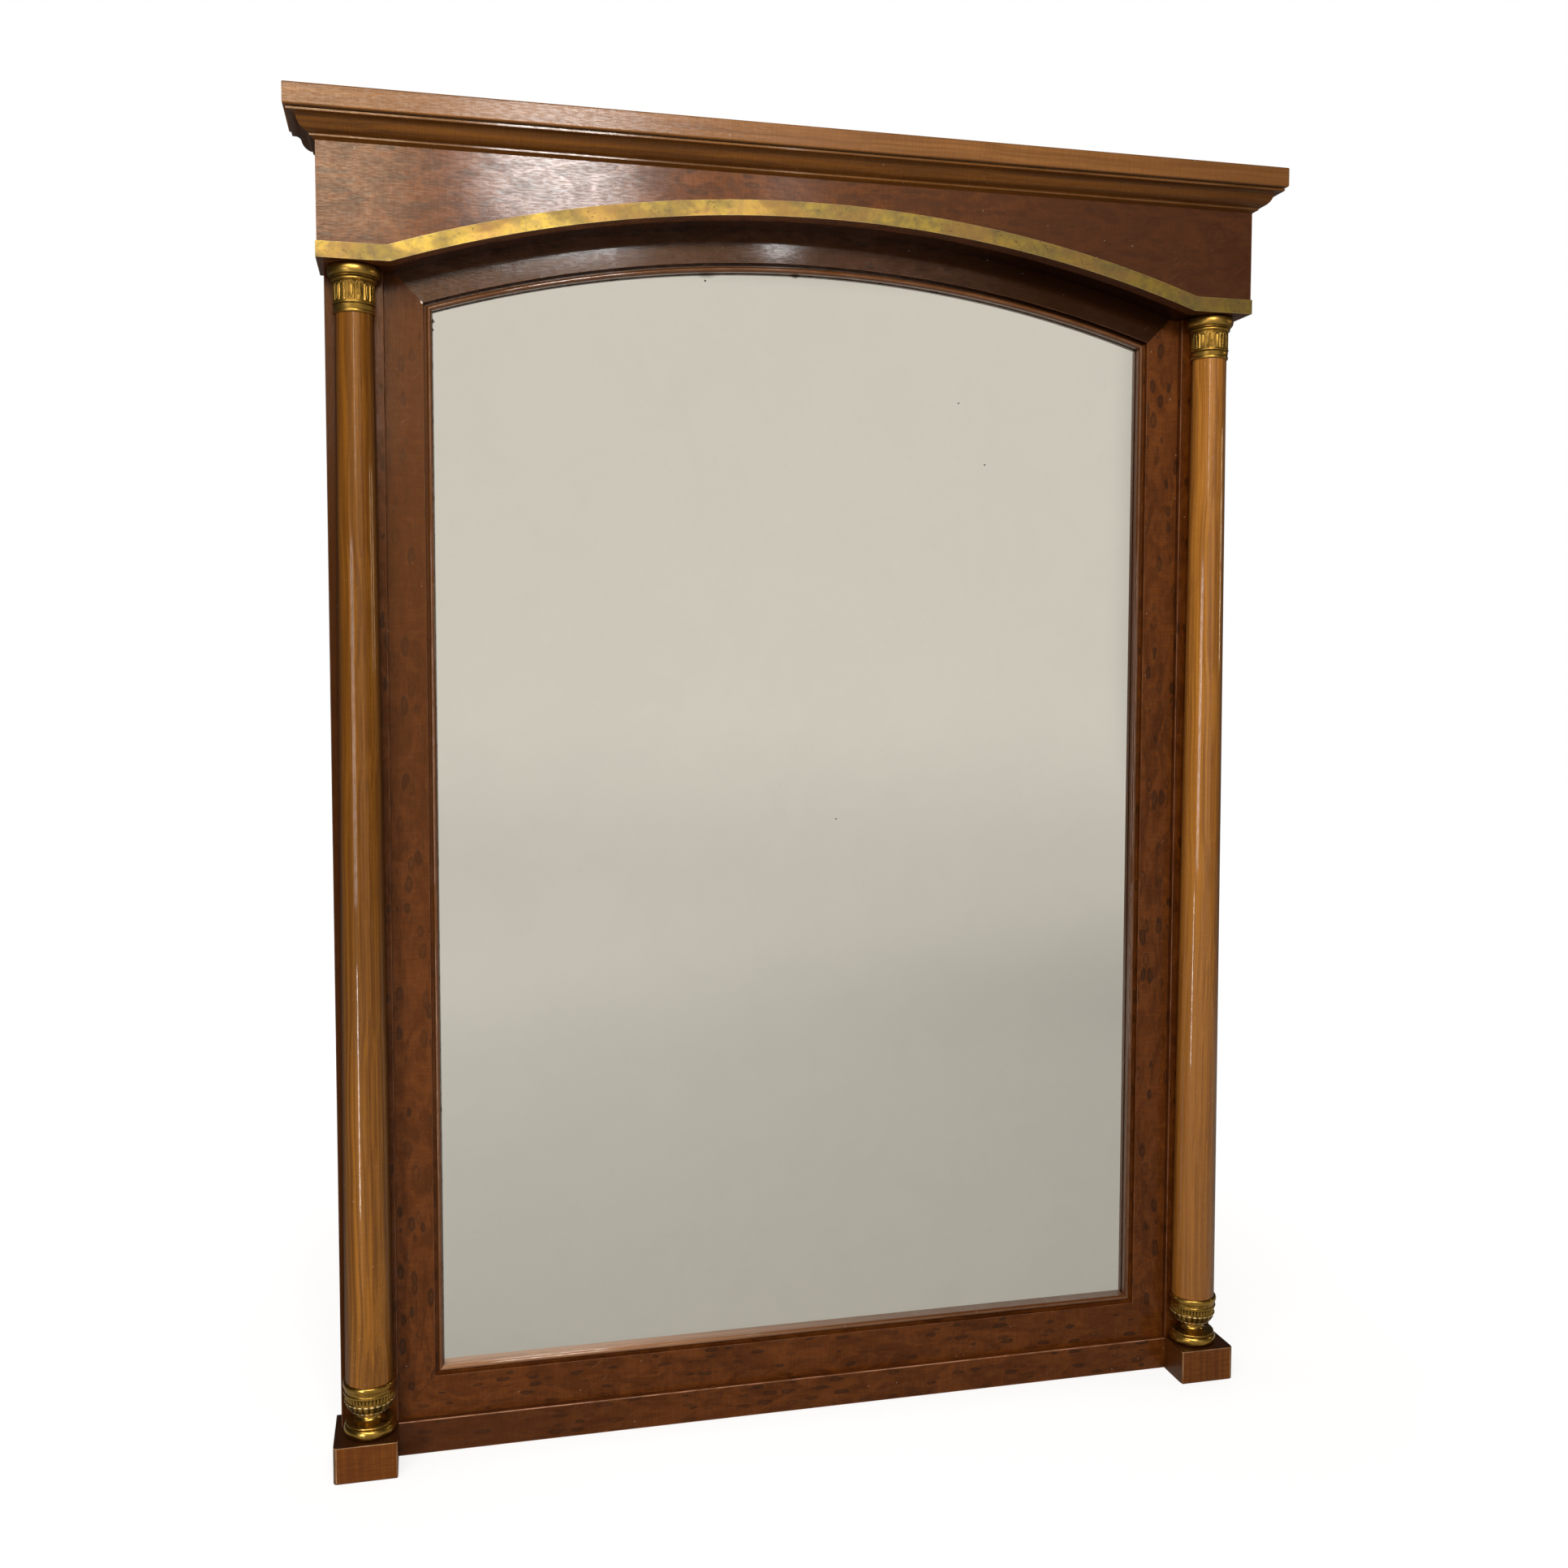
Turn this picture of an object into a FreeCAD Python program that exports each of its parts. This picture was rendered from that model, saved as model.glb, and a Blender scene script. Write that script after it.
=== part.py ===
import FreeCAD, Part
import math
import os

# Column mirror of about 1750 x 1345 mm, in millimetres.
# Origin: centre of the outer box, on the floor. +X is the viewer's right, +Y the wall side, +Z up.

os.makedirs("parts", exist_ok=True)

# Carcass: two flat stiles joined by a bottom rail and a top rail
overall_height = 1750.0
carcass_width = 1263.6
carcass_depth = 36.0
stile_width = 72.8
stile_arris = 1.2
bottom_rail_height = 45.6
top_rail_height = 63.4
top_rail_thickness = 17.5
tenon_length = 40.0
tenon_thickness = 10.0
tenon_shoulder = 8.0
tenon_fit = 0.2

# Cap board and cornice moulding
cap_thickness = 26.6
cap_overhang = 35.0
cap_back_setback = 24.0
cap_facing = 5.0
cap_edge_radius = 1.8
cornice_height = 28.6
cornice_fillet_height = 4.8
cornice_fillet_reach = 31.1
cornice_ogee_reach = 20.3
cornice_ogee_drop = 9.2
cornice_foot_reach = 6.0
cornice_foot_height = 3.8
cornice_foot_lift = 2.4

# Frieze box above the columns
frieze_height = 140.9
frieze_reach = 53.1
frieze_board_thickness = 22.0
frieze_end_lap = 5.0
frieze_arch_rise = 89.9
soffit_flat_length = 87.4
soffit_flat_thickness = 22.0
soffit_arch_thickness = 8.0
frieze_joint_share = 0.333
soffit_joint_share = 0.36
glue_block_size = 18.0
glue_block_length = 70.0
glue_block_spacing = 300.0

# Brass strip along the lower edge of the frieze
trim_width = 20.1
trim_thickness = 1.5
trim_pin_radius = 1.1
trim_pin_length = 14.0
trim_pin_fit = 0.05
trim_pins_on_arch = 9

# Inner frame with an arched top, its glazing bead and the glass
inner_frame_setback = 9.5
inner_frame_thickness = 19.0
inner_stile_width = 49.0
inner_bottom_width = 54.8
inner_arch_rise = 79.2
inner_arch_drop = 33.4
quirk_width = 4.0
quirk_depth = 7.5
bead_width = 6.8
bead_height = 12.5
glass_setback = 15.5
glass_thickness = 3.4
glass_edge_gap = 2.3
packer_length = 40.0
packer_inset = 150.0

# Boards that close the back
back_board_thickness = 6.0
back_board_count = 3
back_board_joint = 0.5
back_screw_length = 18.0
back_screw_radius = 1.75
back_screw_head_radius = 3.6
back_screw_end_inset = 45.0
screw_slot_width = 0.9
screw_slot_depth = 0.8
screw_fit = 0.05

# Engaged columns
column_inset = 37.1
column_axis_reach = 15.5
shaft_bottom_radius = 30.8
shaft_top_radius = 23.6
shaft_swell = 0.4
column_tenon_radius = 8.0
column_tenon_depth = 15.0
column_tenon_fit = 0.05

# Gilt base casting: reaches beyond the shaft, and levels as shares of its height
base_height = 71.2
base_neck_radius = 15.4
base_torus_reach = 3.1
base_cup_reach = 0.6
base_band_reach = 2.2
base_ring_reach = 3.2
base_torus_level = 0.205
base_fillet_level = 0.249
base_neck_level = 0.382
base_cup_level = 0.635
base_band_level = 0.817
base_ring_level = 0.888

# Gilt capital casting: reaches beyond the shaft, and levels as shares of its height
capital_height = 59.9
capital_band_reach = 2.0
capital_drum_reach = 1.9
capital_ring_reach = 5.0
capital_torus_reach = 9.1
capital_band_level = 0.16
capital_drum_level = 0.24
capital_ogee_level = 0.651
capital_ring_level = 0.735
capital_torus_level = 0.768
capital_top_level = 0.975

# Plinth blocks under the columns
plinth_height = 48.3
plinth_reach = 54.8
plinth_overhang = 8.2
plinth_corner_radius = 3.0
plinth_arris = 1.0

# Ring hangers on the back of the top rail
hanger_inset = 231.8
hanger_plate_width = 56.0
hanger_plate_height = 20.0
hanger_plate_thickness = 2.5
hanger_plate_clearance = 4.0
hanger_axis_drop = 34.4
hanger_axis_stand_off = 4.2
hanger_lug_radius = 3.4
hanger_lug_length = 12.0
ring_wire_radius = 1.5
ring_bend_radius = 3.0
ring_radius = 12.0
ring_fit = 0.08
hanger_screw_spacing = 38.0
hanger_screw_radius = 1.6
hanger_screw_head_radius = 3.2
hanger_screw_length = 12.0

# Places worked out from the sizes above
cap_reach = frieze_reach + cap_overhang
total_depth = cap_reach + carcass_depth
back_y = total_depth / 2
face_y = back_y - carcass_depth
carcass_half = carcass_width / 2
stile_inner = carcass_half - stile_width
frieze_half = carcass_half + frieze_end_lap
frieze_front_y = face_y - frieze_reach
frieze_back_y = frieze_front_y + frieze_board_thickness
cap_half = frieze_half + cap_overhang
cap_back_y = back_y - cap_back_setback
cap_bottom = overall_height - cap_thickness
cornice_bottom = cap_bottom - cornice_height
frieze_bottom = cornice_bottom - frieze_height
arch_half = frieze_half - soffit_flat_length
top_rail_bottom = cap_bottom - top_rail_height

inner_front_y = face_y + inner_frame_setback
inner_back_y = inner_front_y + inner_frame_thickness
top_rail_back_y = inner_front_y + top_rail_thickness
opening_half = stile_inner - inner_stile_width
opening_bottom = bottom_rail_height + inner_bottom_width
opening_spring = frieze_bottom - inner_arch_drop
glass_front_y = inner_front_y + glass_setback
glass_back_y = glass_front_y + glass_thickness
bead_front_y = glass_front_y - bead_height
quirk_floor_y = inner_front_y + quirk_depth
bead_offset = quirk_width
sight_offset = quirk_width + bead_width
back_board_y = inner_back_y + back_board_thickness

column_x = carcass_half - column_inset
column_y = face_y - column_axis_reach
base_top = plinth_height + base_height
base_torus_radius = shaft_bottom_radius + base_torus_reach
base_cup_radius = shaft_bottom_radius + base_cup_reach
base_band_radius = shaft_bottom_radius + base_band_reach
base_ring_radius = shaft_bottom_radius + base_ring_reach
capital_bottom = frieze_bottom - capital_height
capital_band_radius = shaft_top_radius + capital_band_reach
capital_drum_radius = shaft_top_radius + capital_drum_reach
capital_ring_radius = shaft_top_radius + capital_ring_reach
capital_torus_radius = shaft_top_radius + capital_torus_reach
plinth_outer = carcass_half + plinth_overhang
plinth_front_y = face_y - plinth_reach

hanger_x = carcass_half - hanger_inset
hanger_y = top_rail_back_y + hanger_axis_stand_off
hanger_z = cap_bottom - hanger_axis_drop


def vec(x, y, z):
    return FreeCAD.Vector(x, y, z)


def box(x0, x1, y0, y1, z0, z1):
    return Part.makeBox(x1 - x0, y1 - y0, z1 - z0, vec(x0, y0, z0))


def line(a, b):
    return Part.LineSegment(a, b).toShape()


def arc(a, b, c):
    return Part.Arc(a, b, c).toShape()


def face_of(edges):
    return Part.Face(Part.Wire(edges))


def polygon_prism(points, y0, y1):
    # Upright outline of (x, z) points, thick from y0 to y1
    corners = [vec(x, y0, z) for x, z in points]
    outline = Part.makePolygon(corners + [corners[0]])
    return Part.Face(outline).extrude(vec(0, y1 - y0, 0))


def mirrored(shape):
    return shape.mirror(vec(0, 0, 0), vec(1, 0, 0))


def arc_radius(half_span, rise):
    return (half_span * half_span + rise * rise) / (2 * rise)


def height_on_arc(radius, centre_z, x):
    return centre_z + math.sqrt(radius * radius - x * x)


def rounded(shape, radius, wanted):
    # Rounds the edges that the test picks
    edges = [edge for edge in shape.Edges if wanted(edge)]
    return shape.makeFillet(radius, edges)


def runs_along(edge, axis):
    box_of = edge.BoundBox
    spans = [box_of.XLength, box_of.YLength, box_of.ZLength]
    return spans[axis] > 1.0 and sum(spans) - spans[axis] < 1e-3


def near(value, target):
    return abs(value - target) < 1e-3


def save(name, shape):
    solids = shape.Solids
    if len(solids) == 1:
        shape = solids[0]
    shape.exportStep("parts/" + name + ".step")
    print(name, len(solids), "solid", round(shape.Volume / 1000.0, 1), "cm3")


# Screws and pins

def slotted_screw(x, tip_y, head_y, z, radius, head_radius):
    # Countersunk screw along +Y with its head flush at head_y
    length = head_y - tip_y
    sink = head_radius - radius
    shank = Part.makeCylinder(radius, length, vec(x, tip_y, z), vec(0, 1, 0))
    cone = Part.makeCone(radius, head_radius, sink, vec(x, head_y - sink, z), vec(0, 1, 0))
    screw = shank.fuse(cone)
    slot = box(
        x - head_radius, x + head_radius,
        head_y - screw_slot_depth, head_y + 1.0,
        z - screw_slot_width / 2, z + screw_slot_width / 2,
    )
    return screw.cut(slot).removeSplitter()


def screw_hole(x, tip_y, head_y, z, radius, head_radius):
    sink = head_radius - radius
    depth = head_y - tip_y + screw_fit
    drill = Part.makeCylinder(radius + screw_fit, depth, vec(x, tip_y - screw_fit, z), vec(0, 1, 0))
    wide = head_radius + screw_fit
    cone = Part.makeCone(radius + screw_fit, wide, sink, vec(x, head_y - sink, z), vec(0, 1, 0))
    return drill.fuse(cone)


# Carcass

def rail_tenon(side, y0, y1, z0, z1, slack):
    inner = side * (stile_inner - 0.5)
    outer = side * (stile_inner + tenon_length + slack)
    middle = (y0 + y1) / 2
    half = tenon_thickness / 2 + slack
    low = z0 + tenon_shoulder - slack
    high = z1 - tenon_shoulder + slack
    return box(min(inner, outer), max(inner, outer), middle - half, middle + half, low, high)


def tenons(side, slack):
    bottom = rail_tenon(side, face_y, back_y, 0, bottom_rail_height, slack)
    top = rail_tenon(side, inner_front_y, top_rail_back_y, top_rail_bottom, cap_bottom, slack)
    return bottom, top


def outer_stile():
    stile = box(stile_inner, carcass_half, face_y, back_y, 0, cap_bottom)
    stile = rounded(
        stile, stile_arris,
        lambda edge: runs_along(edge, 2) and near(edge.BoundBox.YMin, face_y),
    )
    for mortise in tenons(1, tenon_fit):
        stile = stile.cut(mortise)
    return stile


def bottom_rail():
    rail = box(-stile_inner, stile_inner, face_y, back_y, 0, bottom_rail_height)
    for side in (-1, 1):
        rail = rail.fuse(tenons(side, 0)[0])
    return rail.removeSplitter()


def top_rail():
    rail = box(-stile_inner, stile_inner, inner_front_y, top_rail_back_y, top_rail_bottom, cap_bottom)
    for side in (-1, 1):
        rail = rail.fuse(tenons(side, 0)[1])
    for x, z in hanger_screw_places():
        rail = rail.cut(hanger_screw_hole(x, z))
    return rail.removeSplitter()


# Inner frame, bead and glass

def opening_face(offset, y):
    # Arched opening of the inner frame, drawn in by the offset
    half = opening_half - offset
    low = opening_bottom + offset
    radius = arc_radius(opening_half, inner_arch_rise)
    centre_z = opening_spring + inner_arch_rise - radius
    spring = height_on_arc(radius - offset, centre_z, half)
    crown = centre_z + radius - offset
    edges = [
        line(vec(-half, y, low), vec(half, y, low)),
        line(vec(half, y, low), vec(half, y, spring)),
        arc(vec(half, y, spring), vec(0, y, crown), vec(-half, y, spring)),
        line(vec(-half, y, spring), vec(-half, y, low)),
    ]
    return face_of(edges), half, low, spring, crown


def opening_prism(offset, y0, y1):
    return opening_face(offset, y0)[0].extrude(vec(0, y1 - y0, 0))


def mitre_points(offset_list):
    # Lower and upper corner of the left side at each offset
    low = []
    high = []
    for offset in offset_list:
        _, half, bottom, spring, _ = opening_face(offset, 0)
        low.append((-half, bottom))
        high.append((-half, spring))
    return low, high


def member_masks(low, high, reach, y0, y1):
    # Masks of the left, bottom and top member between shared mitre lines
    deep_low = (low[-1][0] + reach, low[-1][1] + reach)
    deep_high = (high[-1][0] + reach, high[-1][1] - reach)
    left_line = low + [deep_low]
    top_line = high + [deep_high]
    left = polygon_prism(left_line + list(reversed(top_line)), y0, y1)
    flipped_low = [(-x, z) for x, z in reversed(left_line)]
    bottom = polygon_prism(left_line + flipped_low, y0, y1)
    flipped_high = [(-x, z) for x, z in reversed(top_line)]
    lid = [(-high[0][0], top_rail_bottom + 1), (high[0][0], top_rail_bottom + 1)]
    top = polygon_prism(top_line + flipped_high + lid, y0, y1)
    return left, bottom, top


def inner_frame():
    outer = box(-stile_inner, stile_inner, inner_front_y, inner_back_y, bottom_rail_height, top_rail_bottom)
    body = outer.cut(opening_prism(0, inner_front_y - 1, inner_back_y + 1))
    tongue = opening_prism(-0.5, quirk_floor_y, glass_front_y)
    tongue = tongue.cut(opening_prism(bead_offset, quirk_floor_y - 1, glass_front_y + 1))
    ring = body.fuse(tongue).removeSplitter()
    low, high = mitre_points([0, bead_offset])
    low = [(-stile_inner, bottom_rail_height)] + low
    mitre_top = high[0][1] + inner_stile_width
    high = [(-stile_inner, mitre_top)] + high
    masks = member_masks(low, high, bead_width, inner_front_y - 1, inner_back_y + 1)
    return [ring.common(mask).removeSplitter() for mask in masks]


def bead_section(x, z, inward_x, inward_z):
    # Half-round bead planed to four flats, from its outer edge at (x, z) towards the glass
    def at(share, y):
        reach = share * bead_width
        return vec(x + inward_x * reach, y, z + inward_z * reach)
    radius = bead_width / 2
    shoulder_y = bead_front_y + radius
    corners = [at(0, glass_front_y)]
    for turn in (0, 45, 90, 135, 180):
        angle = math.radians(turn)
        corners.append(at((1 - math.cos(angle)) / 2, shoulder_y - radius * math.sin(angle)))
    corners.append(at(1, glass_front_y))
    return Part.Face(Part.makePolygon(corners + [corners[0]]))


def glazing_beads():
    _, half, low, spring, crown = opening_face(bead_offset, 0)
    radius = arc_radius(opening_half, inner_arch_rise) - bead_offset
    centre_z = crown - radius
    left = bead_section(-half, low, 1, 0).extrude(vec(0, 0, spring - low))
    bottom = bead_section(-half, low, 0, 1).extrude(vec(2 * half, 0, 0))
    swing = math.degrees(math.asin(half / radius)) + 1.0
    top = bead_section(0, crown, 0, -1)
    centre = vec(0, 0, centre_z)
    top.rotate(centre, vec(0, 1, 0), -swing)
    top = top.revolve(centre, vec(0, 1, 0), 2 * swing)
    points = mitre_points([bead_offset, sight_offset])
    masks = member_masks(points[0], points[1], 1.0, bead_front_y - 1, glass_front_y + 1)
    side_cut = box(-half, half, bead_front_y - 1, glass_front_y + 1, low, crown + 1)
    return (
        left.common(masks[0]),
        bottom.common(masks[1]),
        top.common(masks[2]).common(side_cut),
    )


def mirror_glass():
    return opening_prism(glass_edge_gap, glass_front_y, glass_back_y)


def glass_packers():
    _, half, low, spring, _ = opening_face(0, 0)
    packers = []
    for x in (-half + packer_inset, 0, half - packer_inset):
        x0 = x - packer_length / 2
        packers.append(box(x0, x0 + packer_length, glass_front_y, glass_back_y, low, low + glass_edge_gap))
    for z in (low + packer_inset, spring - packer_inset):
        for side in (-1, 1):
            wall = side * half
            edge = side * (half - glass_edge_gap)
            packers.append(box(
                min(wall, edge), max(wall, edge), glass_front_y, glass_back_y,
                z - packer_length / 2, z + packer_length / 2,
            ))
    return Part.makeCompound(packers)


# Back boards

def back_board_spans():
    low = bottom_rail_height
    pitch = (top_rail_bottom - low) / back_board_count
    for k in range(back_board_count):
        yield low + k * pitch + back_board_joint / 2, low + (k + 1) * pitch - back_board_joint / 2


def back_screw_places():
    side_x = (stile_inner + opening_half) / 2
    places = []
    for z0, z1 in back_board_spans():
        for z in (z0 + back_screw_end_inset, (z0 + z1) / 2, z1 - back_screw_end_inset):
            places.append((-side_x, z))
            places.append((side_x, z))
    row_low = (bottom_rail_height + opening_bottom) / 2
    crown = opening_spring + inner_arch_rise
    row_high = (crown + top_rail_bottom) / 2
    for x in (-opening_half / 2, 0, opening_half / 2):
        places.append((x, row_low))
        places.append((x, row_high))
    return places


def back_screw_hole(x, z):
    tip = back_board_y - back_screw_length
    return screw_hole(x, tip, back_board_y, z, back_screw_radius, back_screw_head_radius)


def back_screws():
    tip = back_board_y - back_screw_length
    made = []
    for x, z in back_screw_places():
        made.append(slotted_screw(x, tip, back_board_y, z, back_screw_radius, back_screw_head_radius))
    return Part.makeCompound(made)


def drilled_for_back_screws(shape):
    bounds = shape.BoundBox
    for x, z in back_screw_places():
        if bounds.XMin < x < bounds.XMax and bounds.ZMin < z < bounds.ZMax:
            shape = shape.cut(back_screw_hole(x, z))
    return shape


def back_boards():
    reach = stile_inner - back_board_joint
    boards = []
    for z0, z1 in back_board_spans():
        boards.append(drilled_for_back_screws(box(-reach, reach, inner_back_y, back_board_y, z0, z1)))
    return boards


# Frieze box

def frieze_arc(lift):
    # Radius, centre height and half span of the frieze arch, raised by the lift
    radius = arc_radius(arch_half, frieze_arch_rise)
    centre_z = frieze_bottom + frieze_arch_rise - radius
    radius = radius + lift
    level = frieze_bottom + lift
    half = math.sqrt(radius * radius - (level - centre_z) ** 2)
    return radius, centre_z, half


def arched_edges(lift, half_width, y):
    # Lower outline of the frieze, from left to right: flat, arch, flat
    radius, centre_z, half = frieze_arc(lift)
    level = frieze_bottom + lift
    crown = centre_z + radius
    return [
        line(vec(-half_width, y, level), vec(-half, y, level)),
        arc(vec(-half, y, level), vec(0, y, crown), vec(half, y, level)),
        line(vec(half, y, level), vec(half_width, y, level)),
    ]


def split_in_three(shape, joint_x):
    # Centre and right part; the left part is the right one's mirror image
    bounds = shape.BoundBox
    sides = (bounds.YMin - 1, bounds.YMax + 1, bounds.ZMin - 1, bounds.ZMax + 1)
    centre = shape.common(box(-joint_x, joint_x, *sides))
    right = shape.common(box(joint_x, bounds.XMax + 1, *sides))
    return centre, right


def frieze_boards():
    y = frieze_front_y
    edges = arched_edges(0, frieze_half, y)
    edges.append(line(vec(frieze_half, y, frieze_bottom), vec(frieze_half, y, cap_bottom)))
    edges.append(line(vec(frieze_half, y, cap_bottom), vec(-frieze_half, y, cap_bottom)))
    edges.append(line(vec(-frieze_half, y, cap_bottom), vec(-frieze_half, y, frieze_bottom)))
    board = face_of(edges).extrude(vec(0, frieze_board_thickness, 0))
    for x, z in trim_pin_places():
        board = board.cut(trim_pin_hole(x, z))
    return split_in_three(board, frieze_joint_share * frieze_half)


def frieze_end():
    inner = frieze_half - frieze_board_thickness
    end = box(inner, frieze_half, frieze_back_y, back_y, frieze_bottom, cap_bottom)
    return end.cut(box(inner - 1, carcass_half, face_y, back_y + 1, frieze_bottom - 1, cap_bottom + 1))


def soffit_arch():
    y = frieze_back_y
    radius, centre_z, half = frieze_arc(0)
    top_radius = radius + soffit_arch_thickness
    end_top = height_on_arc(top_radius, centre_z, half)
    edges = [
        arc(vec(-half, y, frieze_bottom), vec(0, y, centre_z + radius), vec(half, y, frieze_bottom)),
        line(vec(half, y, frieze_bottom), vec(half, y, end_top)),
        arc(vec(half, y, end_top), vec(0, y, centre_z + top_radius), vec(-half, y, end_top)),
        line(vec(-half, y, end_top), vec(-half, y, frieze_bottom)),
    ]
    arch = face_of(edges).extrude(vec(0, inner_front_y - y, 0))
    return split_in_three(arch, soffit_joint_share * half)


def column_bore(low, high):
    radius = column_tenon_radius + column_tenon_fit
    return Part.makeCylinder(radius, high - low, vec(column_x, column_y, low))


def soffit_flat():
    outer = frieze_half - frieze_board_thickness
    top = frieze_bottom + soffit_flat_thickness
    flat = box(arch_half, outer, frieze_back_y, inner_front_y, frieze_bottom, top)
    flat = flat.cut(box(stile_inner, outer + 1, face_y, inner_front_y + 1, frieze_bottom - 1, top + 1))
    return flat.cut(column_bore(frieze_bottom - 1, frieze_bottom + column_tenon_depth + 0.3))


def glue_blocks():
    # Three-cornered blocks between the frieze board and the cap
    size = glue_block_size
    length = glue_block_length
    blocks = []
    for k in range(4):
        x = (k - 1.5) * glue_block_spacing - length / 2
        corners = [
            vec(x, frieze_back_y, cap_bottom),
            vec(x, frieze_back_y + size, cap_bottom),
            vec(x, frieze_back_y, cap_bottom - size),
        ]
        outline = Part.makePolygon(corners + [corners[0]])
        blocks.append(Part.Face(outline).extrude(vec(length, 0, 0)))
    return Part.makeCompound(blocks)


# Brass strip

def trim_front():
    y = frieze_front_y - trim_thickness
    edge_x = frieze_half + trim_thickness
    lower = arched_edges(0, edge_x, y)
    upper = arched_edges(trim_width, edge_x, y)
    ends = [
        line(vec(edge_x, y, frieze_bottom), vec(edge_x, y, frieze_bottom + trim_width)),
        line(vec(-edge_x, y, frieze_bottom + trim_width), vec(-edge_x, y, frieze_bottom)),
    ]
    edges = Part.__sortEdges__(lower + upper + ends)
    strip = face_of(edges).extrude(vec(0, trim_thickness, 0))
    for x, z in trim_pin_places():
        strip = strip.cut(trim_pin_hole(x, z))
    return strip


def trim_return():
    return box(
        frieze_half, frieze_half + trim_thickness, frieze_front_y, back_y,
        frieze_bottom, frieze_bottom + trim_width,
    )


def trim_pin_places():
    middle = trim_width / 2
    radius, centre_z, half = frieze_arc(middle)
    places = [(-column_x, frieze_bottom + middle), (column_x, frieze_bottom + middle)]
    sweep = math.asin(half / radius)
    for k in range(trim_pins_on_arch):
        share = k / (trim_pins_on_arch - 1.0) * 2 - 1
        angle = sweep * share
        places.append((radius * math.sin(angle), centre_z + radius * math.cos(angle)))
    return places


def trim_pin(x, z, slack):
    start = frieze_front_y - trim_thickness
    return Part.makeCylinder(trim_pin_radius + slack, trim_pin_length + slack, vec(x, start, z), vec(0, 1, 0))


def trim_pin_hole(x, z):
    return trim_pin(x, z, trim_pin_fit)


def trim_pins():
    return Part.makeCompound([trim_pin(x, z, 0) for x, z in trim_pin_places()])


# Cap and cornice

def plan_mask(points, z0, z1):
    corners = [vec(x, y, z0) for x, y in points]
    outline = Part.makePolygon(corners + [corners[0]])
    return Part.Face(outline).extrude(vec(0, 0, z1 - z0))


def mitre_masks(z0, z1):
    # Plan masks of the front and the right return, split at the mitre
    far = cap_overhang + 5.0
    corner = (frieze_half, frieze_front_y)
    outer = (frieze_half + far, frieze_front_y - far)
    deep = cap_facing + 5.0
    inner = (corner[0] - deep, corner[1] + deep)
    front = [(-outer[0], outer[1]), outer, inner, (-inner[0], inner[1])]
    right = [outer, (outer[0], back_y + 1), (inner[0], back_y + 1), inner]
    return plan_mask(front, z0, z1), plan_mask(right, z0, z1)


def cap_shell():
    outer = box(-cap_half, cap_half, face_y - cap_reach, cap_back_y, cap_bottom, overall_height)
    outer = rounded(
        outer, cap_edge_radius,
        lambda edge: not near(edge.BoundBox.YMin, cap_back_y),
    )
    return outer.cut(cap_core_box(1.0))


def cap_core_box(extra):
    half = cap_half - cap_facing
    front = face_y - cap_reach + cap_facing
    return box(-half, half, front, cap_back_y + extra, cap_bottom - extra, overall_height + extra)


def cap_board():
    return cap_core_box(0)


def cap_facings():
    shell = cap_shell()
    far_y = face_y - cap_reach - 1
    corner = (cap_half, face_y - cap_reach)
    outer = (corner[0] + 1, corner[1] - 1)
    inner = (corner[0] - cap_facing - 1, corner[1] + cap_facing + 1)
    low = cap_bottom - 1
    high = overall_height + 1
    front_mask = plan_mask([(-outer[0], far_y), (outer[0], far_y), inner, (-inner[0], inner[1])], low, high)
    right_mask = plan_mask([outer, (outer[0], cap_back_y + 1), (inner[0], cap_back_y + 1), inner], low, high)
    return shell.common(front_mask), shell.common(right_mask)


def cornice_profile(place):
    # Moulding in section; place(reach, z) puts a point in space
    fillet_low = cap_bottom - cornice_fillet_height
    ogee_z = cap_bottom - cornice_ogee_drop
    foot_top = cornice_bottom + cornice_foot_lift + cornice_foot_height
    foot_low = cornice_bottom + cornice_foot_lift
    cove_start = place(cornice_fillet_reach - 2.0, fillet_low)
    cove_end = place(cornice_ogee_reach, ogee_z)
    cove_mid = place(cornice_ogee_reach + 3.2, ogee_z + 2.9)
    belly_end = place(cornice_foot_reach + 2.4, foot_top)
    belly_mid = place(cornice_ogee_reach - 3.6, (ogee_z + foot_top) / 2 - 0.5)
    foot_in = place(cornice_foot_reach, foot_top)
    edges = [
        line(place(0, cap_bottom), place(cornice_fillet_reach, cap_bottom)),
        line(place(cornice_fillet_reach, cap_bottom), place(cornice_fillet_reach, fillet_low)),
        line(place(cornice_fillet_reach, fillet_low), cove_start),
        arc(cove_start, cove_mid, cove_end),
        arc(cove_end, belly_mid, belly_end),
        line(belly_end, foot_in),
        line(foot_in, place(cornice_foot_reach, foot_low)),
        line(place(cornice_foot_reach, foot_low), place(0, cornice_bottom)),
        line(place(0, cornice_bottom), place(0, cap_bottom)),
    ]
    return face_of(edges)


def cornice_mouldings():
    far = cap_overhang + 2.0
    start = -frieze_half - far
    front = cornice_profile(lambda reach, z: vec(start, frieze_front_y - reach, z))
    front = front.extrude(vec(2 * (frieze_half + far), 0, 0))
    front_y = frieze_front_y - far
    right = cornice_profile(lambda reach, z: vec(frieze_half + reach, front_y, z))
    right = right.extrude(vec(0, cap_back_y - front_y, 0))
    masks = mitre_masks(cornice_bottom - 1, cap_bottom + 1)
    return front.common(masks[0]), right.common(masks[1])


# Columns

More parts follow.
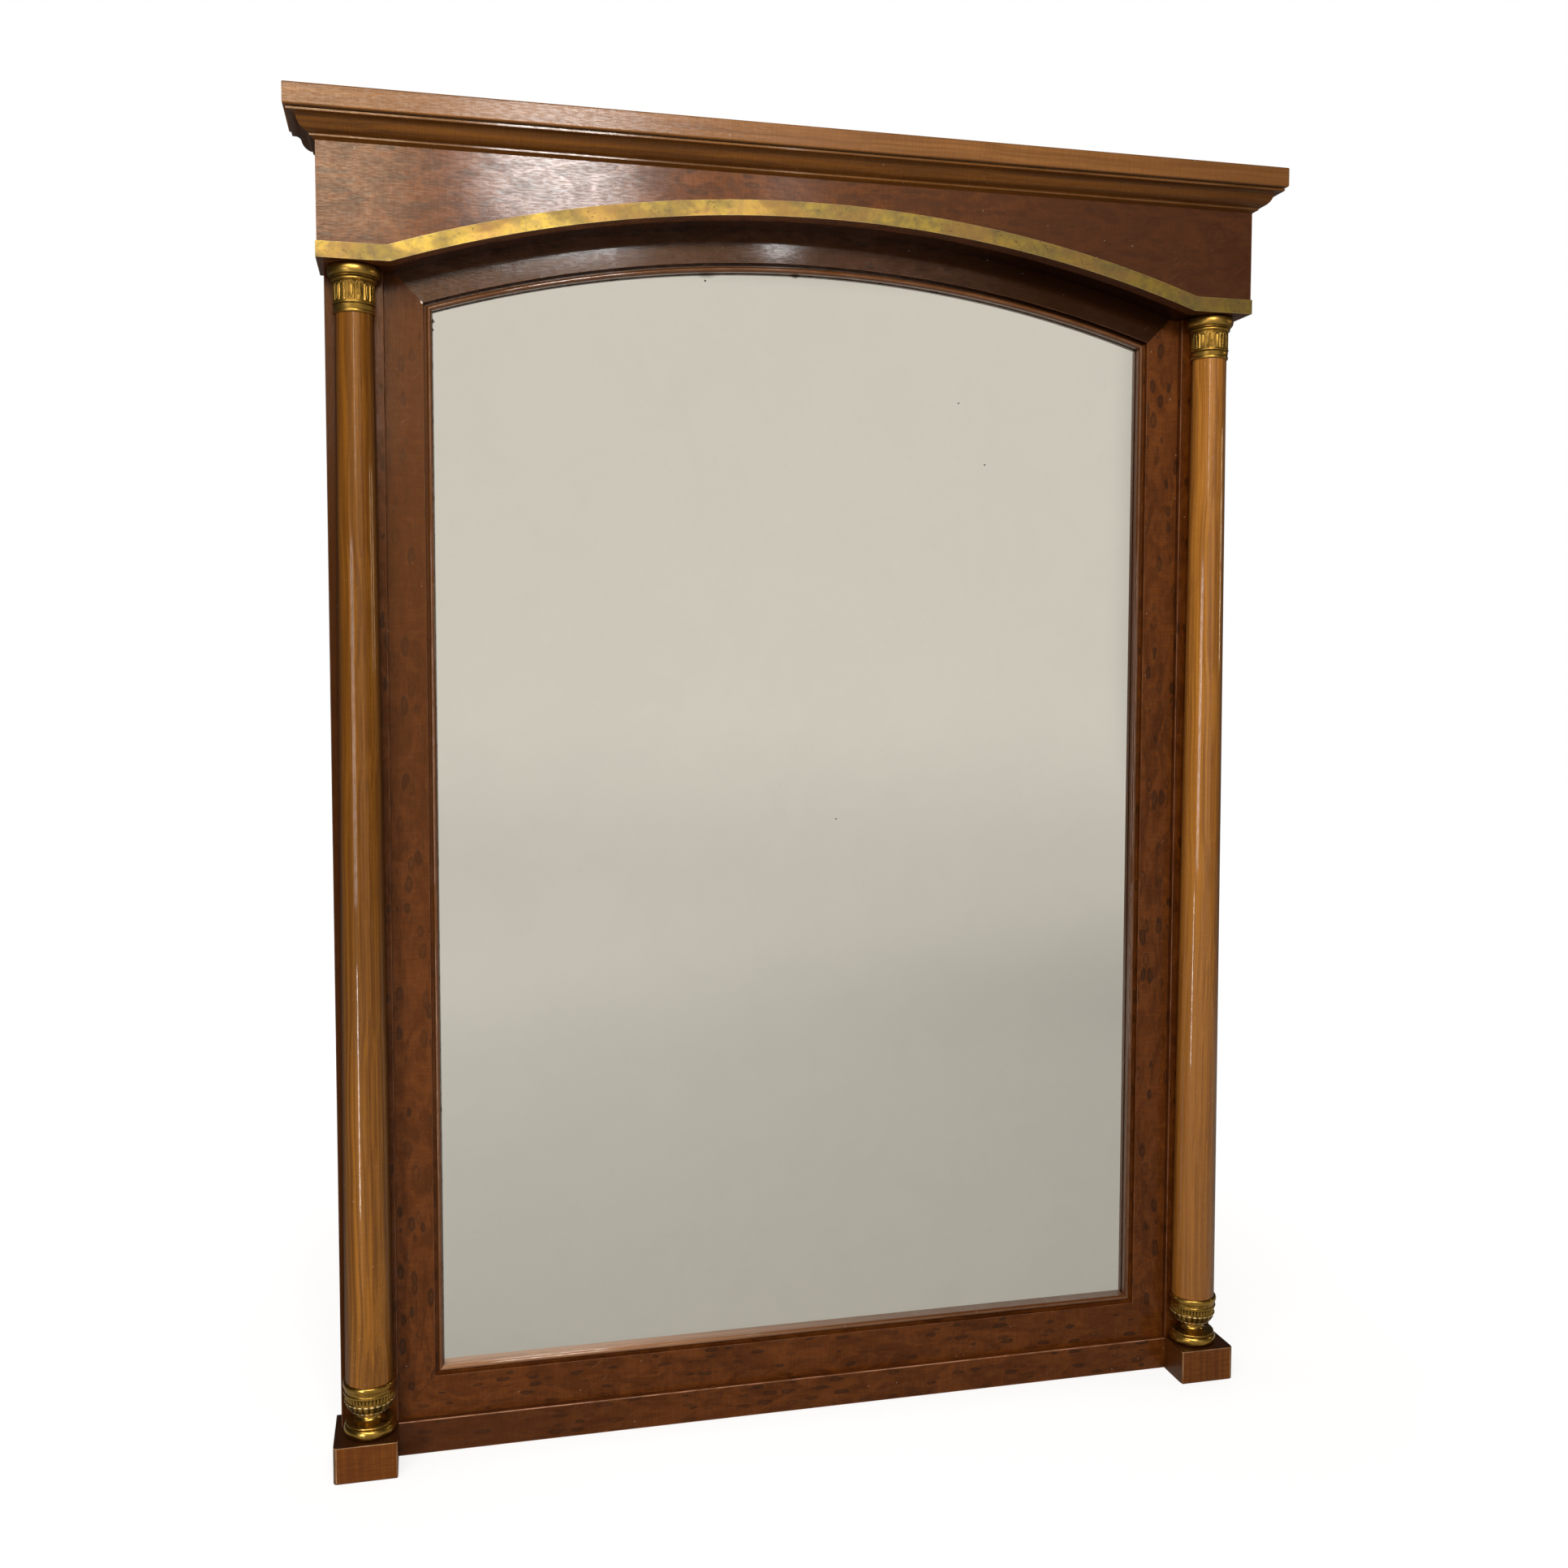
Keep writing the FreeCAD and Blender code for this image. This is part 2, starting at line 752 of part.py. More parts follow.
def turned(points_and_arcs, low, high):
    # Turns a section of (radius, z) steps about the column's axis
    def at(radius, z):
        return vec(column_x + radius, column_y, z)
    edges = [line(at(0, low), at(points_and_arcs[0][0], points_and_arcs[0][1]))]
    last = points_and_arcs[0]
    for step in points_and_arcs[1:]:
        if len(step) == 4:
            edges.append(arc(at(*last), at(step[0], step[1]), at(step[2], step[3])))
            last = (step[2], step[3])
        else:
            edges.append(line(at(*last), at(*step)))
            last = step
    edges.append(line(at(*last), at(0, high)))
    edges.append(line(at(0, high), at(0, low)))
    return face_of(edges).revolve(vec(column_x, column_y, low), vec(0, 0, 1), 360)


def behind_face(low, high):
    # Space behind the front of the stile
    wide = 2 * base_ring_radius
    return box(column_x - wide, column_x + wide, face_y, face_y + wide, low - 1, high + 1)


def column_shaft():
    middle_radius = (shaft_bottom_radius + shaft_top_radius) / 2 + shaft_swell
    middle_z = (base_top + capital_bottom) / 2
    body = turned([
        (shaft_bottom_radius, base_top),
        (middle_radius, middle_z, shaft_top_radius, capital_bottom),
    ], base_top, capital_bottom)
    body = body.cut(behind_face(base_top, capital_bottom))
    foot = plinth_height - column_tenon_depth
    head = frieze_bottom + column_tenon_depth
    core = Part.makeCylinder(column_tenon_radius, head - foot, vec(column_x, column_y, foot))
    return body.fuse(core).removeSplitter()


def column_base():
    low = plinth_height

    def level(share):
        return low + share * base_height

    torus_top = level(base_torus_level)
    fillet_top = level(base_fillet_level)
    neck_low = level(base_neck_level - 0.017)
    cup_top = level(base_cup_level)
    band_top = level(base_band_level)
    ring_low = level(base_ring_level)
    flare = base_torus_radius - 4.3
    body = turned([
        (base_torus_radius - 4.9, low),
        (base_torus_radius, (low + torus_top) / 2, base_torus_radius - 4.9, torus_top),
        (flare, torus_top),
        (flare, fillet_top),
        (flare - 1.6, fillet_top),
        (base_neck_radius + 4.1, level(base_fillet_level + 0.032), base_neck_radius, neck_low),
        (base_neck_radius, level(base_neck_level + 0.017)),
        (base_neck_radius + 6.6, level(base_neck_level + 0.05)),
        (base_cup_radius - 2.4, level(base_neck_level + 0.149), base_cup_radius, cup_top),
        (base_band_radius - 0.8, cup_top),
        (base_band_radius - 0.8, level(base_cup_level + 0.028)),
        (base_band_radius - 1.4, level(base_cup_level + 0.028)),
        (base_band_radius, level(base_cup_level + 0.112), base_band_radius - 0.6, band_top),
        (base_band_radius, band_top),
        (base_band_radius, level(base_band_level + 0.036)),
        (base_band_radius - 1.2, level(base_band_level + 0.036)),
        (base_band_radius - 1.2, ring_low),
        (base_ring_radius - 2.0, ring_low),
        (base_ring_radius, (ring_low + base_top) / 2, base_ring_radius - 2.0, base_top),
    ], low, base_top)
    body = body.cut(behind_face(low, base_top))
    return body.cut(column_bore(low - 1, base_top + 1))


def capital():
    low = capital_bottom
    top = frieze_bottom

    def level(share):
        return low + share * capital_height

    band_top = level(capital_band_level)
    drum_low = level(capital_drum_level)
    ogee_low = level(capital_ogee_level)
    ring_low = level(capital_ring_level)
    torus_low = level(capital_torus_level)
    torus_top = level(capital_top_level)
    throat = capital_band_radius - 1.4
    throat_top = level(capital_band_level + 0.025)
    body = turned([
        (capital_band_radius - 0.7, low),
        (capital_band_radius + 0.4, level(0.028), capital_band_radius - 0.4, level(0.057)),
        (capital_band_radius - 0.2, band_top),
        (throat, band_top),
        (throat, throat_top),
        (capital_drum_radius + 0.1, throat_top),
        (capital_drum_radius + 1.1, level(capital_band_level + 0.05), capital_drum_radius + 0.3, drum_low),
        (capital_drum_radius, drum_low),
        (capital_drum_radius, ogee_low),
        (capital_drum_radius + 0.5, ogee_low),
        (capital_drum_radius + 2.7, level(capital_ogee_level + 0.043), capital_drum_radius + 1.9, ring_low),
        (capital_ring_radius, ring_low),
        (capital_ring_radius, torus_low),
        (capital_ring_radius - 0.6, torus_low),
        (capital_torus_radius, (torus_low + torus_top) / 2, capital_ring_radius - 0.2, torus_top),
        (capital_drum_radius + 0.5, torus_top),
        (capital_drum_radius + 0.5, top),
    ], low, top)
    body = body.cut(behind_face(low, top))
    return body.cut(column_bore(low - 1, top + 1))


def plinth_block():
    block = box(stile_inner, plinth_outer, plinth_front_y, face_y, 0, plinth_height)
    block = rounded(
        block, plinth_corner_radius,
        lambda edge: runs_along(edge, 2)
        and near(edge.BoundBox.XMin, plinth_outer) and near(edge.BoundBox.YMin, plinth_front_y),
    )
    block = rounded(
        block, plinth_arris,
        lambda edge: runs_along(edge, 0)
        and near(edge.BoundBox.YMin, plinth_front_y) and near(edge.BoundBox.ZMin, plinth_height),
    )
    return block.cut(column_bore(plinth_height - column_tenon_depth - 0.3, plinth_height + 1))


def plinth_return():
    return box(carcass_half, plinth_outer, face_y, back_y, 0, plinth_height)


# Ring hangers

def hanger_screw_places():
    z = hanger_z - hanger_plate_clearance - hanger_plate_height / 2
    places = []
    for side in (-1, 1):
        centre = side * hanger_x
        places.append((centre - hanger_screw_spacing / 2, z))
        places.append((centre + hanger_screw_spacing / 2, z))
    return places


def hanger_screw_ends():
    head = top_rail_back_y + hanger_plate_thickness
    return head - hanger_screw_length, head


def hanger_screw_hole(x, z):
    tip, head = hanger_screw_ends()
    return screw_hole(x, tip, head, z, hanger_screw_radius, hanger_screw_head_radius)


def hanger_screws():
    tip, head = hanger_screw_ends()
    made = []
    for x, z in hanger_screw_places():
        made.append(slotted_screw(x, tip, head, z, hanger_screw_radius, hanger_screw_head_radius))
    return Part.makeCompound(made)


def hanger_plate():
    centre = hanger_x
    y0 = top_rail_back_y
    y1 = y0 + hanger_plate_thickness
    high = hanger_z - hanger_plate_clearance
    half = hanger_plate_width / 2
    plate = box(centre - half, centre + half, y0, y1, high - hanger_plate_height, high)
    plate = rounded(plate, 4.0, lambda edge: runs_along(edge, 1))
    lug_half = hanger_lug_length / 2
    tongue = box(centre - lug_half, centre + lug_half, y0, y1, high - 2.0, hanger_z)
    start = vec(centre - lug_half, hanger_y, hanger_z)
    lug = Part.makeCylinder(hanger_lug_radius, hanger_lug_length, start, vec(1, 0, 0))
    bore_start = vec(centre - lug_half - 1, hanger_y, hanger_z)
    bore = Part.makeCylinder(ring_wire_radius + ring_fit, hanger_lug_length + 2, bore_start, vec(1, 0, 0))
    plate = plate.fuse(tongue).fuse(lug).cut(bore).removeSplitter()
    for x, z in hanger_screw_places():
        if x > 0:
            plate = plate.cut(hanger_screw_hole(x, z))
    return plate


def quarter_bend(side):
    centre_x = hanger_x + side * (ring_radius - ring_bend_radius)
    centre = vec(centre_x, hanger_y, hanger_z - ring_bend_radius)
    start = vec(centre_x, hanger_y, hanger_z)
    disc = Part.Face(Part.Wire(Part.makeCircle(ring_wire_radius, start, vec(1, 0, 0))))
    return disc.revolve(centre, vec(0, 1, 0), side * 90)


def hanger_ring():
    # Closed ring of round wire: a straight bar in the lug and a half circle below
    centre_x = hanger_x
    bar_half = ring_radius - ring_bend_radius
    bar_start = vec(centre_x - bar_half, hanger_y, hanger_z)
    bar = Part.makeCylinder(ring_wire_radius, 2 * bar_half, bar_start, vec(1, 0, 0))
    centre = vec(centre_x, hanger_y, hanger_z - ring_bend_radius)
    start = vec(centre_x + ring_radius, hanger_y, hanger_z - ring_bend_radius)
    disc = Part.Face(Part.Wire(Part.makeCircle(ring_wire_radius, start, vec(0, 0, 1))))
    bow = disc.revolve(centre, vec(0, 1, 0), 180)
    ring = bar.fuse([quarter_bend(-1), quarter_bend(1), bow])
    return ring.removeSplitter()


# Every piece to its own file

def save_pair(name, right_shape):
    save(name + "_right", right_shape)
    save(name + "_left", mirrored(right_shape))


save_pair("outer_stile", outer_stile())
save("bottom_rail", bottom_rail())
save("top_rail", top_rail())

frame_left, frame_bottom, frame_top = inner_frame()
save("inner_stile_left", drilled_for_back_screws(frame_left))
save("inner_stile_right", mirrored(drilled_for_back_screws(frame_left)))
save("inner_bottom_rail", drilled_for_back_screws(frame_bottom))
save("inner_arched_rail", drilled_for_back_screws(frame_top))

bead_left, bead_bottom, bead_top = glazing_beads()
save("glazing_bead_left", bead_left)
save("glazing_bead_right", mirrored(bead_left))
save("glazing_bead_bottom", bead_bottom)
save("glazing_bead_arch", bead_top)

save("mirror_glass", mirror_glass())
save("glass_packers", glass_packers())

for board_name, board in zip(("lower", "middle", "upper"), back_boards()):
    save("back_board_" + board_name, board)
save("back_board_screws", back_screws())

frieze_centre, frieze_right = frieze_boards()
save("frieze_board_centre", frieze_centre)
save_pair("frieze_board", frieze_right)
save_pair("frieze_end", frieze_end())
soffit_centre, soffit_right = soffit_arch()
save("soffit_arch_centre", soffit_centre)
save_pair("soffit_arch", soffit_right)
save_pair("soffit_flat", soffit_flat())
save("frieze_glue_blocks", glue_blocks())

save("brass_trim", trim_front())
save_pair("brass_trim_return", trim_return())
save("brass_trim_pins", trim_pins())

save("cap_board", cap_board())
facing_front, facing_right = cap_facings()
save("cap_facing_front", facing_front)
save_pair("cap_facing_end", facing_right)
cornice_front, cornice_right = cornice_mouldings()
save("cornice_front", cornice_front)
save_pair("cornice_return", cornice_right)

save_pair("column_shaft", column_shaft())
save_pair("column_base", column_base())
save_pair("column_capital", capital())
save_pair("plinth_block", plinth_block())
save_pair("plinth_return", plinth_return())

save_pair("hanger_plate", hanger_plate())
save_pair("hanger_ring", hanger_ring())
save("hanger_screws", hanger_screws())
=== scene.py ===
import bpy
import bmesh
import math
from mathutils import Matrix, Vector


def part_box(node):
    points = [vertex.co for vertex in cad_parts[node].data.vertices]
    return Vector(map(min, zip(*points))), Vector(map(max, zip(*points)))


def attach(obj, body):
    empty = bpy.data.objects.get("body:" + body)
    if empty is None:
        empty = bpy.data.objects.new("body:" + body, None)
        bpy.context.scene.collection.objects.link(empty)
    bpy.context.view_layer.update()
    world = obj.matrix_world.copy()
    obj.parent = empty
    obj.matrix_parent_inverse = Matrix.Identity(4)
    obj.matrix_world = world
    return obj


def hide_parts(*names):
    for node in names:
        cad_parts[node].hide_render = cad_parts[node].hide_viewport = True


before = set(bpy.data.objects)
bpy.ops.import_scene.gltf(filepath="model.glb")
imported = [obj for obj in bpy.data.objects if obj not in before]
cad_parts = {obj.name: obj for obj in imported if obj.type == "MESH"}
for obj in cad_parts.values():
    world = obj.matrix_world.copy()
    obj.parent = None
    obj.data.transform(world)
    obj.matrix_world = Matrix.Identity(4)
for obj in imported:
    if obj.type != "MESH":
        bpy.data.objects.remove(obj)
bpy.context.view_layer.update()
mainBody = "mirror_frame"
print("frame loaded with", len(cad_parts), "nodes")


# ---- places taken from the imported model, in metres

stileLow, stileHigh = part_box("outer_stile_right")
faceY, stileInner, capBottom = stileLow.y, stileLow.x, stileHigh.z
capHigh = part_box("cap_board")[1]
friezeLow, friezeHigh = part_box("frieze_board_right")
friezeHalf, friezeBottom = friezeHigh.x, friezeLow.z
friezeFrontY, friezeBackY = friezeLow.y, friezeHigh.y
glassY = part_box("mirror_glass")[0].y
baseLow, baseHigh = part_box("column_base_right")
capitalLow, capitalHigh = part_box("column_capital_right")
columnX = (baseLow.x + baseHigh.x) / 2
columnY = faceY - 0.0155            # axis of the columns, in front of the stiles
sides = ((-1, "Left"), (1, "Right"))
mm = 0.001


def addObject(name, data):
    made = bpy.data.objects.new(name, data)
    bpy.context.scene.collection.objects.link(made)
    return made


# ---- camera at the photograph's place

viewpoint = {
    "place": (-0.51355, -1.94735, 1.05216),
    "turnDegrees": (86.7262, -0.0746, -13.0910),
    "lensMm": 33.877,
    "shiftX": 0.01012,
    "shiftY": -0.02075,
}

cameraData = bpy.data.cameras.new("viewCamera")
cameraData.sensor_width = 36.0
cameraData.lens = viewpoint["lensMm"]
cameraData.shift_x = viewpoint["shiftX"]
cameraData.shift_y = viewpoint["shiftY"]
cameraData.clip_start = 0.05
cameraData.clip_end = 60.0
cameraObject = addObject("viewCamera", cameraData)
cameraObject.location = viewpoint["place"]
cameraObject.rotation_euler = [math.radians(a) for a in viewpoint["turnDegrees"]]
bpy.context.scene.camera = cameraObject
bpy.context.scene.view_settings.view_transform = "Standard"
print("camera placed")


# ---- helpers for node trees

def rgba(colour):
    return (colour[0], colour[1], colour[2], 1.0)


class treeWiring:
    # short names for the nodes of one tree

    def __init__(self, tree):
        self.tree = tree

    def feed(self, node, sockets):
        # joins sockets to the node's inputs and sets the rest as constants
        for key, value in sockets.items():
            if isinstance(value, bpy.types.NodeSocket):
                self.tree.links.new(value, node.inputs[key])
            else:
                node.inputs[key].default_value = value
        return node

    def wire(self, kind, sockets=None, **settings):
        node = self.tree.nodes.new(kind)
        for key, value in settings.items():
            setattr(node, key, value)
        return self.feed(node, sockets or {})

    def group(self, shared, **sockets):
        return self.wire("ShaderNodeGroup", sockets, node_tree=shared).outputs

    def maths(self, operation, first, second=0.0, clamp=False):
        return self.wire("ShaderNodeMath", {0: first, 1: second}, operation=operation, use_clamp=clamp).outputs[0]

    def times(self, first, second, clamp=False):
        return self.maths("MULTIPLY", first, second, clamp)

    def plus(self, first, second, clamp=False):
        return self.maths("ADD", first, second, clamp)

    def minus(self, first, second):
        return self.maths("SUBTRACT", first, second)

    def ease(self, value, low, high, toLow=0.0, toHigh=1.0):
        # smooth step from low to high
        return self.wire(
            "ShaderNodeMapRange", {0: value, 1: low, 2: high, 3: toLow, 4: toHigh},
            interpolation_type="SMOOTHSTEP").outputs[0]

    def blend(self, factor, first, second):
        # each colour is a socket or three numbers
        first, second = [rgba(c) if isinstance(c, (tuple, list)) else c for c in (first, second)]
        return self.wire("ShaderNodeMix", {0: factor, 6: first, 7: second}, data_type="RGBA").outputs[2]

    def over(self, colour, tint, mask, amount):
        return self.blend(self.times(mask, amount), colour, tint)

    def choose(self, switch, first, second):
        return self.wire("ShaderNodeMix", {0: switch, 2: first, 3: second}, data_type="FLOAT").outputs[0]

    def vector(self, operation, first, second):
        return self.wire("ShaderNodeVectorMath", {0: first, 1: second}, operation=operation).outputs

    def scaled(self, vector, factors):
        return self.vector("MULTIPLY", vector, factors)[0]

    def parts(self, vector):
        return self.wire("ShaderNodeSeparateXYZ", {0: vector}).outputs

    def joined(self, x, y, z):
        return self.wire("ShaderNodeCombineXYZ", {0: x, 1: y, 2: z}).outputs[0]

    def noise(self, vector, scale=1.0, detail=3.0, roughness=0.55, distortion=0.0):
        return self.wire("ShaderNodeTexNoise", {
            "Vector": vector, "Scale": scale, "Detail": detail, "Roughness": roughness,
            "Distortion": distortion}).outputs[0]

    def drawn(self, vector, factors, detail=2.0, roughness=0.5, distortion=0.0):
        return self.noise(self.scaled(vector, factors), 1.0, detail, roughness, distortion)

    def painted(self, name):
        return self.wire("ShaderNodeAttribute", attribute_name=name).outputs["Fac"]


socketKinds = {type(None): "NodeSocketVector", int: "NodeSocketInt", float: "NodeSocketFloat"}


def startTree(name, kind="ShaderNodeTree", **inputs):
    # tree with named inputs: a number is a first value, None stands for a vector and text for another kind
    tree = bpy.data.node_groups.new(name, kind)
    for label, value in inputs.items():
        socketKind = "NodeSocket" + value if isinstance(value, str) else socketKinds[type(value)]
        socket = tree.interface.new_socket(name=label, in_out="INPUT", socket_type=socketKind)
        if isinstance(value, (int, float)):
            socket.default_value = value
    return treeWiring(tree), tree.nodes.new("NodeGroupInput").outputs


def endTree(w, kind="Float", **results):
    for label in results:
        w.tree.interface.new_socket(name=label, in_out="OUTPUT", socket_type="NodeSocket" + kind)
    w.feed(w.tree.nodes.new("NodeGroupOutput"), results)
    return w.tree


# ---- shared effects

def makeGrainGroup():
    # straight grain running along the vector's first axis
    w, given = startTree("straightGrain", Vector=None, Along=5.0, Across=110.0)
    warp = w.times(w.minus(w.noise(given["Vector"], 3.0, 2.0), 0.5), 0.020)
    lifted = w.vector("ADD", given["Vector"], warp)[0]
    run = w.scaled(lifted, w.joined(given["Along"], given["Across"], given["Across"]))
    return endTree(
        w,
        Streak=w.ease(w.noise(run, 1.0, 4.0, 0.6), 0.33, 0.67),
        Pores=w.ease(w.drawn(run, (3.2, 6.5, 6.5)), 0.60, 0.74),
        Tone=w.drawn(run, (0.5, 0.07, 0.07)),
        Fibre=w.drawn(run, (1.6, 2.6, 2.6), 3.0, 0.6),
        Ripple=w.ease(w.drawn(lifted, (430.0, 45.0, 45.0)), 0.35, 0.65),
        Strokes=w.ease(w.drawn(given["Vector"], (100.0, 560.0, 560.0)), 0.36, 0.66),
    )


def makeFigureGroup():
    # dark ringed flecks, longer along the grain than across it
    w, given = startTree("fleckFigure", Vector=None, Length=0.040, Width=0.012, Share=0.6)
    wobble = w.wire("ShaderNodeTexNoise", {"Vector": given["Vector"], "Scale": 70.0, "Detail": 3.0}).outputs[1]
    centred = w.vector("SUBTRACT", wobble, (0.5, 0.5, 0.5))[0]
    moved = w.vector("ADD", given["Vector"], w.scaled(centred, (0.016, 0.0052, 0.0052)))[0]
    cellVector = w.vector("DIVIDE", moved, w.joined(given["Length"], given["Width"], given["Width"]))[0]
    cell = w.wire("ShaderNodeTexVoronoi", {"Vector": cellVector, "Scale": 1.0, "Randomness": 0.95})
    pick = w.wire("ShaderNodeSeparateColor", {0: cell.outputs["Color"]}).outputs
    reach = w.maths("DIVIDE", cell.outputs["Distance"], w.ease(pick[1], 0.0, 1.0, 0.70, 1.20))
    strength = w.times(w.maths("LESS_THAN", pick[0], given["Share"]), w.ease(pick[2], 0.0, 1.0, 0.45, 1.0))
    ring = w.times(w.ease(reach, 0.14, 0.26), w.ease(reach, 0.28, 0.40, 1.0, 0.0))
    filled = w.times(w.ease(reach, 0.16, 0.38, 1.0, 0.0), w.ease(pick[2], 0.45, 0.75, 0.25, 1.0))
    thin = w.drawn(given["Vector"], (60.0, 300.0, 300.0))
    crowd = w.ease(w.noise(given["Vector"], 17.0, 2.0), 0.42, 0.60)
    return endTree(
        w,
        Ring=w.times(ring, strength),
        Core=w.times(filled, strength),
        Cloud=w.ease(w.drawn(given["Vector"], (16.0, 34.0, 34.0), 5.0, 0.68, 1.6), 0.36, 0.66),
        Dashes=w.times(w.ease(thin, 0.55, 0.70), crowd),
    )


def makeWearAndHighlightGroup():
    # breaks the arris mask into lengths with and without rubbed wear and painted highlight
    w, given = startTree("arrisWearAndHighlight", Vector=None, Arris=0.0, Amount=0.6)
    kept = w.plus(w.times(w.ease(w.noise(given["Vector"], 22.0, 4.0, 0.65), 0.38, 0.62), 0.65), 0.35)
    return endTree(w, Mask=w.times(w.times(given["Arris"], kept), given["Amount"], True))


def makeHandlingGroup():
    # clouded polish, dust and fine scratches
    w, given = startTree("handledPolish", Vector=None, Scratch=0.5)
    turned = w.wire("ShaderNodeMapping", {0: given["Vector"], 2: (0.35, 0.6, 0.25)}).outputs[0]
    thin = w.drawn(turned, (14.0, 620.0, 460.0), 1.0, 0.4)
    gate = w.ease(w.noise(given["Vector"], 9.0, 1.0), 0.52, 0.66)
    speck = w.wire("ShaderNodeTexVoronoi", {"Vector": given["Vector"], "Scale": 95.0})
    pick = w.wire("ShaderNodeSeparateColor", {0: speck.outputs["Color"]}).outputs
    return endTree(
        w,
        Haze=w.ease(w.noise(given["Vector"], 5.5, 4.0, 0.6), 0.30, 0.72),
        Scratches=w.times(w.times(w.ease(thin, 0.70, 0.78), gate), given["Scratch"]),
        Dust=w.times(w.ease(speck.outputs["Distance"], 0.05, 0.11, 1.0, 0.0), w.maths("GREATER_THAN", pick[0], 0.93)),
    )


def makeMetalGroup():
    # blotches, specks and fine pitting of old metal
    w, given = startTree("agedMetal", Vector=None, Blotch=26.0, Speck=420.0)
    moved = w.vector("ADD", given["Vector"], (3.1, 1.7, 5.3))[0]
    crowd = w.ease(w.noise(moved, 34.0, 3.0, 0.6), 0.42, 0.66)
    return endTree(
        w,
        Blotches=w.ease(w.noise(given["Vector"], given["Blotch"], 5.0, 0.62, 0.5), 0.40, 0.62),
        Tint=w.ease(w.noise(moved, given["Blotch"], 4.0, 0.6), 0.42, 0.64),
        Specks=w.times(w.ease(w.noise(given["Vector"], given["Speck"], 3.0, 0.6), 0.60, 0.70), crowd),
        Pitting=w.noise(given["Vector"], 900.0, 2.0, 0.5),
    )


def makeSpotGroup():
    # round mark of a given radius at one place
    w, given = startTree("spotMark", Vector=None, Place=None, Radius=0.002, Ragged=1.3)
    away = w.maths("DIVIDE", w.vector("DISTANCE", given["Vector"], given["Place"])[1], given["Radius"])
    rough = w.times(w.minus(w.noise(given["Vector"], 480.0, 2.0), 0.5), given["Ragged"])
    return endTree(w, Mask=w.ease(w.plus(away, rough), 0.75, 1.1, 1.0, 0.0))


grainGroup = makeGrainGroup()
figureGroup = makeFigureGroup()
wearAndHighlightGroup = makeWearAndHighlightGroup()
handlingGroup = makeHandlingGroup()
metalGroup = makeMetalGroup()
spotGroup = makeSpotGroup()
print("shared effects ready")


# ---- finishes

turnForAxis = {"x": (0.0, 0.0, 0.0), "y": (0.0, 0.0, math.radians(-90)), "z": (0.0, math.radians(90), 0.0)}
dustColour = (0.62, 0.55, 0.46)


def startMaterial(name):
    material = bpy.data.materials.new(name)
    material.use_nodes = True
    w = treeWiring(material.node_tree)
    w.tree.nodes.clear()
    surface = w.wire("ShaderNodeBsdfPrincipled")
    w.wire("ShaderNodeOutputMaterial", {0: surface.outputs[0]})
    return material, w, surface, w.wire("ShaderNodeTexCoord").outputs["Object"]


def dressSurface(w, surface, colour, gloss, bump, others):
    # bump is (height, strength, distance)
    height, strength, distance = bump
    bumped = w.wire("ShaderNodeBump", {"Height": height, "Strength": strength, "Distance": distance}).outputs[0]
    w.feed(surface, dict(others, **{"Base Color": colour, "Roughness": gloss, "Normal": bumped}))


def wearAndHighlightMask(w, place, amount):
    return w.group(wearAndHighlightGroup, Vector=place, Arris=w.painted("arris"), Amount=amount)["Mask"]


